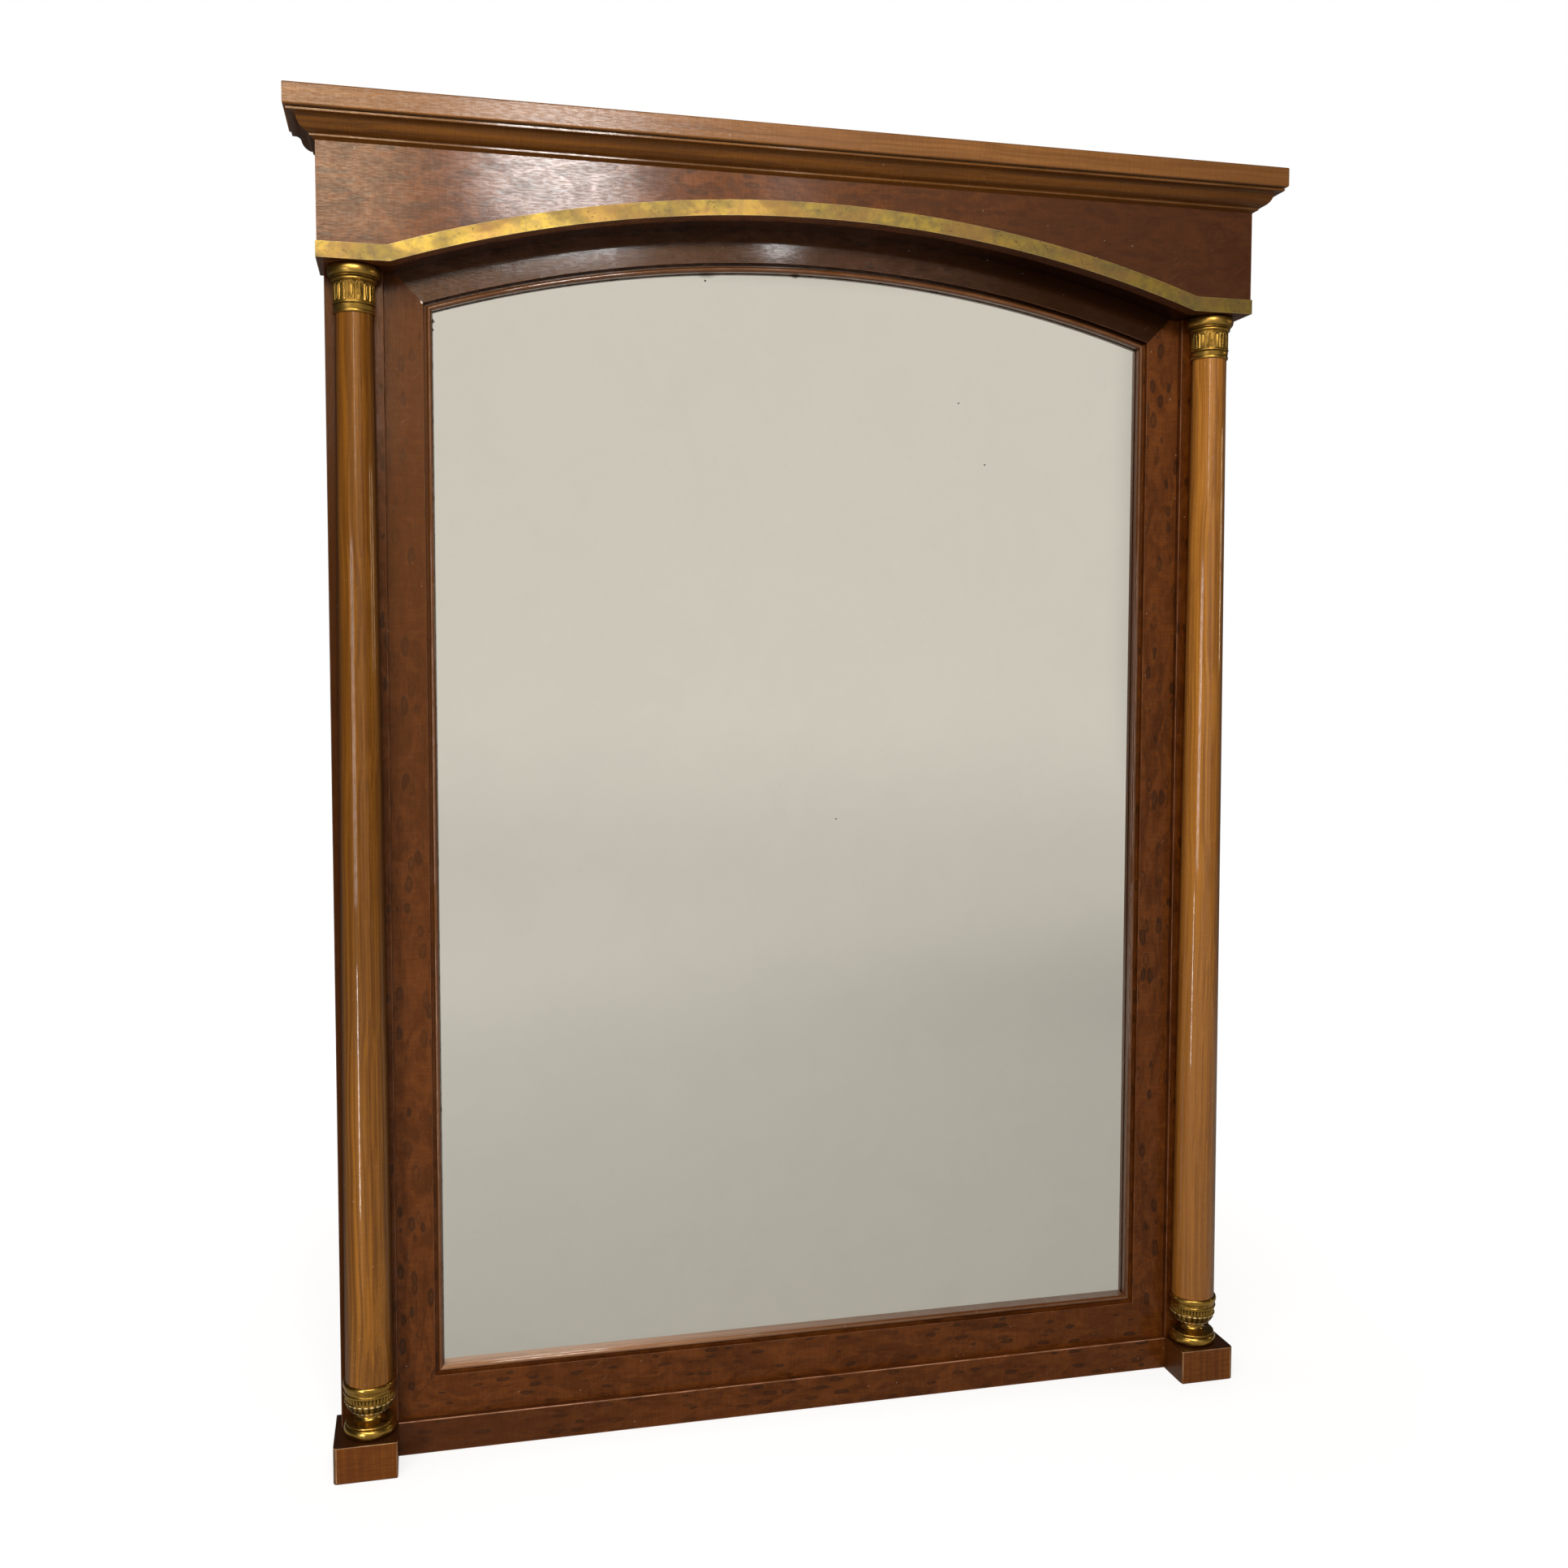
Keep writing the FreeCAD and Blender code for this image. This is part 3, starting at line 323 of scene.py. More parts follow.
def makeWood(name, axis, look, offset=(0.0, 0.0, 0.0), marks=()):
    material, w, surface, place = startMaterial(name)
    grain = w.wire("ShaderNodeMapping", {0: place, 1: offset, 2: turnForAxis[axis]}).outputs[0]
    lines = w.group(grainGroup, Vector=grain, Along=look["along"], Across=look["across"])
    tone = w.plus(w.times(lines["Streak"], look["streak"]), w.times(lines["Tone"], 1.0 - look["streak"]), True)
    colour = w.blend(tone, look["dark"], look["light"])
    if look["fleck"] > 0:
        flecks = w.group(
            figureGroup, Vector=grain, Length=look["fleckLength"], Width=look["fleckWidth"], Share=look["fleckShare"])
        colour = w.over(colour, look["cloudColour"], flecks["Cloud"], look["cloud"])
        for part, share in (("Dashes", 0.5), ("Core", 0.7), ("Ring", 1.0)):
            colour = w.over(colour, look["fleckColour"], flecks[part], look["fleck"] * share)
    colour = w.over(colour, look["dark"], lines["Ripple"], look["ripple"])
    side, start, end, first, last = look["paintedFalloff"]
    if side:                         # painted shade: darker towards one end of the object, where less light falls
        falloffShade = w.ease(w.parts(place)[side], start, end, first, last)
        colour = w.blend(falloffShade, colour, look["dark"])
    if look["rim"] > 0:              # painted shade: a dark rim where a round form turns away from view
        facing = w.wire("ShaderNodeLayerWeight", {"Blend": 0.5}).outputs["Facing"]
        rim = w.ease(facing, look["rimStart"], look["rimEnd"], 0.0, look["rim"])
        colour = w.blend(rim, colour, look["paintedShadeColour"])
    colour = w.over(colour, look["poreColour"], lines["Pores"], look["pores"])
    # rubbed wear and painted highlight lines along the marked arrises
    colour = w.blend(wearAndHighlightMask(w, place, look["wear"]), colour, look["wearAndHighlightColour"])
    # painted shade on the marked faces of gaps, undersides, tops and turned-away sides
    colour = w.over(colour, look["paintedShadeColour"], w.painted("grime"), look["grime"])
    handled = w.group(handlingGroup, Vector=place, Scratch=look["scratch"])
    colour = w.over(colour, look["wearAndHighlightColour"], handled["Scratches"], look["scratchTint"])
    colour = w.over(colour, dustColour, handled["Dust"], look["dust"])
    for spot, radius, tint in marks:
        colour = w.blend(w.group(spotGroup, Vector=place, Place=spot, Radius=radius)["Mask"], colour, tint)
    gloss = w.plus(w.times(handled["Haze"], look["hazeSpread"]), look["rough"])
    gloss = w.plus(gloss, w.times(lines["Fibre"], look["fibreRough"]), True)
    gloss = w.plus(gloss, w.times(lines["Ripple"], look["ripple"] * 0.25), True)
    film = w.plus(w.times(lines["Strokes"], look["coat"] * 0.8), look["coat"] * 0.62)
    if look["fleck"] > 0:
        gloss = w.plus(gloss, w.times(flecks["Cloud"], look["cloudRough"]), True)
        film = w.times(film, w.plus(w.times(flecks["Cloud"], look["cloudFilm"]), 1.0 - look["cloudFilm"] * 0.5))
    # thinner coat where the painted shade falls
    if look["deepFilm"] > 0:
        film = w.times(film, w.minus(1.0, w.times(falloffShade, look["deepFilm"])))
    if look["rim"] > 0:
        gloss = w.plus(gloss, w.times(rim, look["rimRough"]), True)
        film = w.times(film, w.minus(1.0, rim))
    height = w.plus(w.times(lines["Fibre"], 0.4), w.times(lines["Pores"], -0.5))
    height = w.plus(height, w.times(lines["Strokes"], 0.45))
    dressSurface(w, surface, colour, gloss, (height, look["bump"], 0.0003), {
        "Coat Weight": film, "Coat Roughness": look["coatRough"], "Specular IOR Level": look["specular"],
        "Specular Tint": rgba(look["sheenColour"])})
    return material


noPaintedFalloff = ("", 0.0, 1.0, 0.0, 0.0)
figured = {                          # the falloff entry is painted shade towards one end: an axis, the two ends of the change and the share at each
    "dark": (0.037, 0.0072, 0.0006), "light": (0.095, 0.0218, 0.0019), "along": 9.0, "across": 110.0, "streak": 0.35,
    "fleck": 0.86, "fleckLength": 0.036, "fleckWidth": 0.0110, "fleckShare": 0.74,
    "fleckColour": (0.010, 0.0022, 0.0006), "ripple": 0.26, "dust": 0.3, "scratch": 0.2, "scratchTint": 0.5,
    "cloud": 0.66, "cloudColour": (0.152, 0.0390, 0.0035), "cloudRough": 0.12, "cloudFilm": 0.5,
    "pores": 0.30, "poreColour": (0.024, 0.006, 0.002), "grime": 0.85, "paintedShadeColour": (0.012, 0.0035, 0.0012),
    "wear": 0.80, "wearAndHighlightColour": (0.44, 0.22, 0.13), "sheenColour": (1.0, 0.50, 0.20), "specular": 0.45,
    "rough": 0.33, "hazeSpread": 0.10, "fibreRough": 0.20, "bump": 0.40, "coat": 0.27, "coatRough": 0.14,
    "paintedFalloff": noPaintedFalloff, "deepFilm": 0.0, "rim": 0.0, "rimStart": 0.28, "rimEnd": 0.85, "rimRough": 0.25,
}
# painted shade: the falloff entries in these looks darken the wood towards the ends and heights that get less light
friezeLook = dict(
    figured, dark=(0.034, 0.0065, 0.0006), light=(0.088, 0.0200, 0.0018), fleck=0.66, cloud=0.80,
    fleckColour=(0.016, 0.0036, 0.0008), cloudColour=(0.185, 0.0510, 0.0050), sheenColour=(1.0, 0.66, 0.44),
    paintedFalloff=("X", -0.20, 0.45, 0.0, 0.80), deepFilm=0.85)
railLook = dict(figured, paintedFalloff=("X", -0.55, -0.05, 0.65, 0.0))
uprightLook = dict(figured, fleckLength=0.029, fleckWidth=0.0126)
leftUprightLook = dict(uprightLook, paintedFalloff=("Z", 0.30, 1.40, 0.0, 0.55), deepFilm=0.50)
# painted shade: darker copies of the figured wood for the arched rail and the outer stiles, which lie in shade under
# the frieze and beside the columns
shadedLook = dict(
    figured, dark=(0.014, 0.0028, 0.0004), light=(0.038, 0.0085, 0.0010), cloudColour=(0.062, 0.0150, 0.0016),
    paintedFalloff=("X", 0.06, 0.36, 0.0, 1.0), deepFilm=0.88, coat=1.00, coatRough=0.09, specular=0.26, rough=0.24,
    fibreRough=0.10, hazeSpread=0.05)
shadedUprightLook = dict(
    shadedLook, dark=(0.031, 0.0066, 0.0006), light=(0.078, 0.0180, 0.0017), cloudColour=(0.114, 0.0290, 0.0026),
    paintedFalloff=("X", -0.615, -0.590, 0.92, 0.0), fleckLength=0.029, fleckWidth=0.0126, coat=0.26, coatRough=0.14)
# painted shade: the darkest copy, for the soffit under the frieze
soffitLook = dict(
    shadedLook, dark=(0.010, 0.0020, 0.0003), light=(0.028, 0.0062, 0.0007), coat=0.35, specular=0.14, deepFilm=0.5)
fasciaLook = dict(
    figured, dark=(0.120, 0.042, 0.008), light=(0.275, 0.110, 0.027), along=3.2, across=190.0, streak=0.6, fleck=0.0,
    pores=0.60, poreColour=(0.110, 0.042, 0.012), wearAndHighlightColour=(0.50, 0.30, 0.15), sheenColour=(1.0, 0.64, 0.36),
    rough=0.42, specular=0.50, coat=0.32, coatRough=0.22, paintedFalloff=("X", 0.15, 0.65, 0.0, 0.55))
plinthLook = dict(
    fasciaLook, dark=(0.080, 0.0180, 0.0014), light=(0.188, 0.0555, 0.0048), poreColour=(0.045, 0.012, 0.003),
    ripple=0.45, sheenColour=(1.0, 0.55, 0.25), rough=0.34, specular=0.32, coat=0.30, coatRough=0.08,
    fibreRough=0.10, paintedFalloff=noPaintedFalloff)
mouldingLook = dict(
    fasciaLook, dark=(0.056, 0.0155, 0.0014), light=(0.185, 0.062, 0.0055), poreColour=(0.040, 0.014, 0.004),
    wear=0.20, wearAndHighlightColour=(0.34, 0.18, 0.09), sheenColour=(1.0, 0.58, 0.26), rough=0.26, specular=0.40,
    coat=0.26, coatRough=0.10)
beadLook = dict(
    mouldingLook, dark=(0.050, 0.0130, 0.0020), light=(0.125, 0.038, 0.0065), streak=0.25, pores=0.10, ripple=0.0,
    wear=0.30, bump=0.05, fibreRough=0.05, specular=0.14, coat=0.90, coatRough=0.05)
# painted highlight: a much lighter bottom bead stands in for the bright line of light along its top, fading towards the
# right
beadFootLook = dict(
    beadLook, dark=(0.085, 0.025, 0.0055), light=(0.480, 0.245, 0.1300), specular=0.35,
    paintedFalloff=("X", -0.30, 0.30, 0.0, 1.0))
# painted shade: the column falloff darkens the upper part of the left column, which gets less light
columnLook = dict(
    fasciaLook, dark=(0.080, 0.0235, 0.0018), light=(0.350, 0.134, 0.0130), along=2.4, across=330.0, scratch=0.9,
    poreColour=(0.060, 0.017, 0.003), sheenColour=(1.0, 0.62, 0.30), ripple=0.10, rough=0.30, hazeSpread=0.06,
    fibreRough=0.06, bump=0.12, specular=0.3, coat=0.52, coatRough=0.06, paintedFalloff=("Z", 0.2, 0.8, 0.0, 0.42), rim=0.80)
# painted light: a lighter copy of the column wood for the right column, whose visible side faces the light, darker
# towards its foot
litColumnLook = dict(
    columnLook, dark=(0.155, 0.047, 0.0050), light=(0.465, 0.190, 0.0270), coat=0.95,
    paintedFalloff=("Z", 0.1, 1.4, 0.36, 0.0), rim=0.5)
softLook = dict(
    fasciaLook, dark=(0.300, 0.172, 0.082), light=(0.560, 0.370, 0.205), along=2.0, across=60.0, ripple=0.0, wear=0.3,
    dust=0.8, paintedShadeColour=(0.030, 0.018, 0.010), rough=0.62, bump=0.5, specular=0.3, coat=0.0, paintedFalloff=noPaintedFalloff)
chip = ((-0.5106, faceY + 0.0095, 1.5218), 0.0026, (0.80, 0.74, 0.66))   # at the left mitre of the arch
woodList = {                         # material name, grain axis, look, offset of the grain, marks
    "figuredX": ("figuredMahoganyLevel", "x", figured),
    "figuredY": ("figuredMahoganyDeep", "y", figured),
    "figuredZ": ("figuredMahoganyUpright", "z", uprightLook),
    "leftZ": ("figuredMahoganyLeft", "z", leftUprightLook, (0.0, 0.0, 0.0), [chip]),
    "fasciaX": ("fasciaMahoganyLevel", "x", fasciaLook),
    "fasciaY": ("fasciaMahoganyDeep", "y", fasciaLook),
    "plinthZ": ("plinthMahoganyUpright", "z", plinthLook),
    "plinthY": ("plinthMahoganyDeep", "y", plinthLook),
    "mouldingX": ("mouldingMahoganyLevel", "x", mouldingLook),
    "mouldingY": ("mouldingMahoganyDeep", "y", mouldingLook),
    "beadX": ("beadMahoganyLevel", "x", beadLook),
    "beadZ": ("beadMahoganyUpright", "z", beadLook),
    "beadFoot": ("highlightedBeadMahogany", "x", beadFootLook),
    "shadedX": ("shadedMahoganyLevel", "x", shadedLook),
    "shadedZ": ("shadedMahoganyUpright", "z", shadedUprightLook),
    "columnLeft": ("leftColumnMahogany", "z", columnLook),
    "columnRight": ("rightColumnMahogany", "z", litColumnLook, (0.31, 0.17, 0.0)),
    "soffitX": ("soffitMahogany", "x", soffitLook),
    "friezeX": ("friezeMahogany", "x", friezeLook),
    "railX": ("railMahogany", "x", railLook),
    "softX": ("softwoodLevel", "x", softLook),
    "softRail": ("softwoodRail", "x", dict(softLook, light=(0.44, 0.27, 0.14)), (0.3, 0.21, 0.17)),
    "softLower": ("softwoodLowerBoard", "x", softLook, (0.9, 0.33, 0.08)),
    "softMiddle": ("softwoodMiddleBoard", "x", dict(softLook, light=(0.47, 0.30, 0.165)), (1.7, 0.52, 0.31)),
    "softUpper": ("softwoodUpperBoard", "x", dict(softLook, dark=(0.34, 0.20, 0.10)), (2.6, 0.11, 0.47)),
}
woods = {key: makeWood(*entry) for key, entry in woodList.items()}

brassLook = {
    "yellow": (0.318, 0.220, 0.040), "olive": (0.112, 0.084, 0.048), "pink": (0.290, 0.150, 0.050),
    "speck": (0.045, 0.034, 0.014), "rubbedAndLit": (0.66, 0.52, 0.26), "rough": 0.45, "blotchRough": 0.10,
}
giltLook = {
    "bright": (0.43, 0.255, 0.052), "dull": (0.26, 0.142, 0.026), "dirt": (0.020, 0.010, 0.003),
    "rough": 0.24, "bump": 0.03,
}


def makeBrass(look):
    material, w, surface, place = startMaterial("agedBrass")
    drawn = w.scaled(place, (0.55, 1.0, 1.0))       # patches longer along the strip
    old = w.group(metalGroup, Vector=drawn, Blotch=24.0, Speck=360.0)
    spots = w.group(metalGroup, Vector=place, Blotch=85.0, Speck=240.0)
    colour = w.over(look["yellow"], look["olive"], old["Blotches"], 0.60)
    colour = w.over(colour, look["olive"], spots["Blotches"], 0.50)
    colour = w.over(colour, look["pink"], old["Tint"], 0.50)
    colour = w.over(colour, look["yellow"], spots["Tint"], 0.25)
    colour = w.over(colour, look["speck"], old["Specks"], 0.8)
    colour = w.over(colour, look["speck"], spots["Specks"], 0.7)
    # rubbed brass and a painted highlight line along the strip's edges
    colour = w.blend(wearAndHighlightMask(w, place, 0.8), colour, look["rubbedAndLit"])
    gloss = w.plus(w.times(old["Blotches"], look["blotchRough"]), look["rough"])
    height = w.plus(w.times(old["Pitting"], 0.4), w.times(old["Specks"], -0.8))
    dressSurface(w, surface, colour, gloss, (height, 0.25, 0.0003), {"Metallic": 0.9})
    return material


def makeGilt(name, look):
    material, w, surface, place = startMaterial(name)
    old = w.group(metalGroup, Vector=place, Blotch=70.0, Speck=700.0)
    uneven = w.times(w.minus(old["Tint"], 0.5), 0.25)
    dirty = w.ease(w.plus(w.painted("recess"), uneven), 0.25, 0.85)
    colour = w.over(look["bright"], look["dull"], old["Blotches"], 0.6)
    colour = w.over(colour, look["dirt"], dirty, 0.92)
    colour = w.over(colour, look["dirt"], old["Specks"], 0.3)
    gloss = w.plus(w.plus(w.times(dirty, 0.35), look["rough"]), w.times(old["Blotches"], 0.06))
    dressSurface(w, surface, colour, gloss, (old["Pitting"], look["bump"], 0.0002), {"Metallic": 1.0})
    return material


def makeSteel(name, colour, rough):
    material, w, surface, place = startMaterial(name)
    old = w.group(metalGroup, Vector=place, Blotch=110.0, Speck=900.0)
    tint = w.over(colour, [c * 0.45 for c in colour], old["Blotches"], 0.6)
    tint = w.over(tint, (0.09, 0.045, 0.02), old["Specks"], 0.8)
    gloss = w.plus(w.times(old["Tint"], 0.2), rough)
    dressSurface(w, surface, tint, gloss, (old["Pitting"], 0.2, 0.0002), {"Metallic": 1.0})
    return material


brassFinish = makeBrass(brassLook)
giltFinish = makeGilt("giltBronze", giltLook)
capitalFinish = makeGilt("dullGilt", dict(giltLook, rough=0.33, dirt=(0.026, 0.014, 0.004)))
# paler gilt for the pearls: rubbed gilding on their raised tops and painted highlight so they read as bright dashes
rubbedAndLitGiltLook = dict(giltLook, bright=(0.88, 0.70, 0.38), dull=(0.66, 0.48, 0.20), rough=0.36)
rubbedAndLitGiltFinish = makeGilt("rubbedAndLitGilt", rubbedAndLitGiltLook)
steelFinish = makeSteel("dullSteel", (0.30, 0.27, 0.24), 0.42)
hangerFinish = makeSteel("hangerBrass", (0.52, 0.37, 0.15), 0.36)
print("finishes ready")


# ---- helpers for meshes

hair = 1e-5                          # for corners that lie on a box's own planes
near = 0.001                         # for edges beside a plane


def ringSolid(rings):
    # closed solid through equal rings of points, with a face at each end
    mesh = bmesh.new()
    rows = [[mesh.verts.new(p) for p in ring] for ring in rings]
    count = len(rings[0])
    for a, b in zip(rows, rows[1:]):
        for i in range(count):
            j = (i + 1) % count
            mesh.faces.new((a[i], a[j], b[j], b[i]))
    mesh.faces.new(list(reversed(rows[0])))
    mesh.faces.new(rows[-1])
    bmesh.ops.recalc_face_normals(mesh, faces=mesh.faces)
    return mesh


def outlinePrism(points, frontY, rearY):
    # upright outline of (x, z) points, thick from front to rear
    return ringSolid([[(x, y, z) for x, z in points] for y in (frontY, rearY)])


def boxSolid(low, high):
    points = [(low[0], low[2]), (high[0], low[2]), (high[0], high[2]), (low[0], high[2])]
    return outlinePrism(points, low[1], high[1])


def runSolid(profile, start, end, outward, mitreStart, mitreEnd):
    # straight moulding: profile of (reach, z), ends cut back or out by the mitre factors
    start, end, outward = Vector(start), Vector(end), Vector(outward)
    along = (end - start).normalized()
    first = [start + outward * r - along * (r * mitreStart) + Vector((0, 0, z)) for r, z in profile]
    last = [end + outward * r + along * (r * mitreEnd) + Vector((0, 0, z)) for r, z in profile]
    return ringSolid([first, last])


def between(a, b, t):
    return a * (1 - t) + b * t


def curvePoints(start, control, end, steps):
    # points on a bent line, without its first point
    points = []
    for i in range(1, steps + 1):
        t = i / steps
        points.append([(1 - t) ** 2 * a + 2 * t * (1 - t) * b + t * t * c for a, b, c in zip(start, control, end)])
    return points


def rollPoints(radius, low, high, bulge, steps):
    # half-round roll standing out from a radius between two levels
    turns = [i / steps * math.pi for i in range(1, steps + 1)]
    return [(radius + bulge * math.sin(t), low + (high - low) * (1 - math.cos(t)) / 2) for t in turns]


def arcRadius(half, rise):
    return (half ** 2 + rise ** 2) / (2 * rise)


def arcPoints(half, centre, radius, steps):
    # upper arc of a circle from left to right
    across = [-half + 2 * half * i / steps for i in range(steps + 1)]
    return [(x, centre + math.sqrt(radius ** 2 - x ** 2)) for x in across]


def loopLayer(mesh, name):
    return mesh.loops.layers.float.get(name) or mesh.loops.layers.float.new(name)


def paintFaces(faces, layer, amount):
    for face in faces:
        for loop in face.loops:
            loop[layer] = amount


def softenArrises(mesh, width, segments=2, wanted=None, sharpest=25.0, mark=1.0):
    # bevels sharp outer edges and marks the new faces for rubbed wear and painted highlight lines; wanted takes the two
    # ends of an edge
    layer = loopLayer(mesh, "arris")
    chosen = []
    for edge in mesh.edges:
        if len(edge.link_faces) != 2 or edge.calc_face_angle(0.0) < math.radians(sharpest) or not edge.is_convex:
            continue
        if wanted is None or wanted(*[v.co for v in edge.verts]):
            chosen.append(edge)
    made = bmesh.ops.bevel(
        mesh, geom=chosen, offset=width, offset_type="OFFSET", segments=segments, profile=0.5, affect="EDGES",
        clamp_overlap=True)
    paintFaces(made["faces"], layer, mark)
    return mesh


def shadeFaces(mesh, wanted, amount=1.0):
    # marks faces for painted shade, standing in for the shadow in gaps and on undersides, tops and turned-away sides;
    # wanted takes a face's normal and centre
    layer = loopLayer(mesh, "grime")
    mesh.normal_update()
    paintFaces([f for f in mesh.faces if wanted(f.normal, f.calc_center_median())], layer, amount)
    return mesh


def markFilletWearAndHighlight(mesh, levels):
    # marks the faces that hold a fillet's arris for rubbed polish and a painted highlight line
    layer = loopLayer(mesh, "arris")
    held = [f for f in mesh.faces if any(low <= f.calc_center_median().z <= high for low, high in levels)]
    paintFaces(held, layer, 0.75)
    return mesh


def meshData(mesh, name):
    data = bpy.data.meshes.new(name)
    mesh.to_mesh(data)
    mesh.free()
    return data


def smoothData(data, sharp):
    data.shade_smooth()
    data.set_sharp_from_angle(angle=math.radians(sharp))
    return data


def evaluated(holder):
    # plain mesh data of an object with its modifier applied; the object and its own data are removed
    bpy.context.view_layer.update()
    own = holder.data
    made = bpy.data.meshes.new_from_object(holder.evaluated_get(bpy.context.evaluated_depsgraph_get()))
    holder.modifiers.clear()
    bpy.data.objects.remove(holder)
    bpy.data.meshes.remove(own)
    return made


def steadyNormals(data):
    # lets the large faces keep their own direction beside narrow rounded arrises
    holder = addObject("steady", data)
    modifier = holder.modifiers.new("weighted", "WEIGHTED_NORMAL")
    modifier.keep_sharp = True
    modifier.weight = 90
    return evaluated(holder)


def placePiece(name, data, material, replaced=()):
    data.name = name
    data.materials.clear()
    data.materials.append(material)
    piece = addObject(name, data)
    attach(piece, mainBody)
    if replaced:
        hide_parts(*replaced)


def finishPiece(name, mesh, material, replaced=(), sharp=32.0):
    placePiece(name, steadyNormals(smoothData(meshData(mesh, name), sharp)), material, replaced)


# ---- cap and cornice

capLook = {"edgeRound": 0.0022, "edgeSteps": 4, "facing": 0.005, "overhang": 0.035}


def capProfile():
    # (reach, z) points with the lower and upper edge rounded
    r, reach, steps = capLook["edgeRound"], capLook["overhang"], capLook["edgeSteps"]
    inner = reach - capLook["facing"]
    turns = [math.radians(90 * i / steps) for i in range(steps + 1)]
    points = [(reach - r + r * math.sin(a), capBottom + r - r * math.cos(a)) for a in turns]
    points += [(reach - r + r * math.cos(a), capHigh.z - r + r * math.sin(a)) for a in turns]
    return [(inner, capBottom)] + points + [(inner, capHigh.z)]


def frontRun(profile):
    # moulding along the front of the frieze, mitred at both ends
    return runSolid(profile, (-friezeHalf, friezeFrontY, 0), (friezeHalf, friezeFrontY, 0), (0, -1, 0), 1, 1)


def sideRun(profile, side):
    # moulding back along one end of the frieze, mitred at the front
    x = side * friezeHalf
    return runSolid(profile, (x, friezeFrontY, 0), (x, capHigh.y, 0), (side, 0, 0), 1, 0)


profile = capProfile()
finishPiece("capFacingFront", frontRun(profile), woods["fasciaX"], ["cap_facing_front"])
for side, word in sides:
    node = "cap_facing_end_" + word.lower()
    finishPiece("capFacingEnd" + word, sideRun(profile, side), woods["fasciaY"], [node])

corniceLook = {
    "filletReach": 0.0311, "filletHeight": 0.0048, "ogeeReach": 0.0203, "ogeeDrop": 0.0092,
    "footReach": 0.0060, "footTop": 0.0062, "footLow": 0.0030, "height": 0.0286,
    "gapHeight": 0.0020, "gapDepth": 0.0040,
}
corniceLow = capBottom - corniceLook["height"]
filletLow = capBottom - corniceLook["filletHeight"]
gapLow = capBottom - corniceLook["gapHeight"]
footLow, footTop = corniceLow + corniceLook["footLow"], corniceLow + corniceLook["footTop"]


def corniceProfile():
    # (reach, z) points from the top: shadow gap, fillet, ogee and foot
    reach, foot = corniceLook["filletReach"], corniceLook["footReach"]
    inner = reach - corniceLook["gapDepth"]
    turn = (corniceLook["ogeeReach"], capBottom - corniceLook["ogeeDrop"])
    points = [(0.0, capBottom - 0.0002), (inner, capBottom - 0.0002), (inner, gapLow), (reach, gapLow)]
    points += [(reach, filletLow + 0.0006), (reach - 0.0006, filletLow), (reach - 0.0026, filletLow)]
    points += curvePoints(points[-1], (turn[0] + 0.0022, filletLow + 0.0002), turn, 8)
    points += curvePoints(turn, (turn[0] - 0.0022, footTop + 0.0035), (foot + 0.0024, footTop), 10)
    points += [(foot + 0.0004, footTop), (foot, footTop - 0.0005), (foot, footLow + 0.0004), (foot - 0.0005, footLow)]
    return points + [(0.0, corniceLow)]


profile = corniceProfile()
# rubbed wear and painted highlight lines on the fillets
filletWearAndHighlightLevels = [(filletLow + 0.0002, gapLow - 0.0002), (footLow, footTop)]
# painted shade in the shadow gap under the cap
front = shadeFaces(frontRun(profile), lambda normal, centre: centre.z > gapLow - 0.0001)
finishPiece("corniceFront", markFilletWearAndHighlight(front, filletWearAndHighlightLevels), woods["mouldingX"], ["cornice_front"])
for side, word in sides:
    # painted shade on the outer sides, tops and undersides of the returns
    end = shadeFaces(sideRun(profile, side), lambda normal, centre: abs(normal.x) + abs(normal.z) > 0.9, 0.6)
    node = "cornice_return_" + word.lower()
    finishPiece("corniceReturn" + word, markFilletWearAndHighlight(end, filletWearAndHighlightLevels), woods["mouldingY"], [node])
print("cap and cornice made")


# ---- frieze and brass strip

archLook = {
    "flat": 0.0874, "rise": 0.0899, "steps": 72, "boardArris": 0.0007,
    "stripWidth": 0.0201, "stripThickness": 0.0015, "stripArris": 0.0003,
}
archRadius = arcRadius(friezeHalf - archLook["flat"], archLook["rise"])
archCentre = friezeBottom + archLook["rise"] - archRadius


def archedEdge(lift, halfWidth):
    # lower outline of the frieze from left to right: flat, arch, flat
    radius, level = archRadius + lift, friezeBottom + lift
    half = math.sqrt(radius ** 2 - (level - archCentre) ** 2)
    return [(-halfWidth, level)] + arcPoints(half, archCentre, radius, archLook["steps"]) + [(halfWidth, level)]


outline = archedEdge(0.0, friezeHalf) + [(friezeHalf, capBottom), (-friezeHalf, capBottom)]
board = softenArrises(
    outlinePrism(outline, friezeFrontY, friezeBackY), archLook["boardArris"], 2,
    lambda a, b: min(abs(a.x), abs(b.x)) > friezeHalf - near and max(a.y, b.y) < friezeFrontY + near)
boardNodes = ["frieze_board_left", "frieze_board_centre", "frieze_board_right"]
finishPiece("friezeBoard", board, woods["friezeX"], boardNodes)

stripEnd = friezeHalf + archLook["stripThickness"]
stripFront = friezeFrontY - archLook["stripThickness"]
outline = archedEdge(0.0, stripEnd) + list(reversed(archedEdge(archLook["stripWidth"], stripEnd)))
strip = softenArrises(
    outlinePrism(outline, stripFront, friezeFrontY), archLook["stripArris"], 2,
    lambda a, b: max(a.y, b.y) < stripFront + 0.0002)
finishPiece("brassStrip", strip, brassFinish, ["brass_trim"])
for side, word in sides:
    node = "brass_trim_return_" + word.lower()
    piece = softenArrises(boxSolid(*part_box(node)), archLook["stripArris"])
    finishPiece("brassReturn" + word, piece, brassFinish, [node])
print("frieze and brass strip made")


# ---- stiles, rails and inner frame

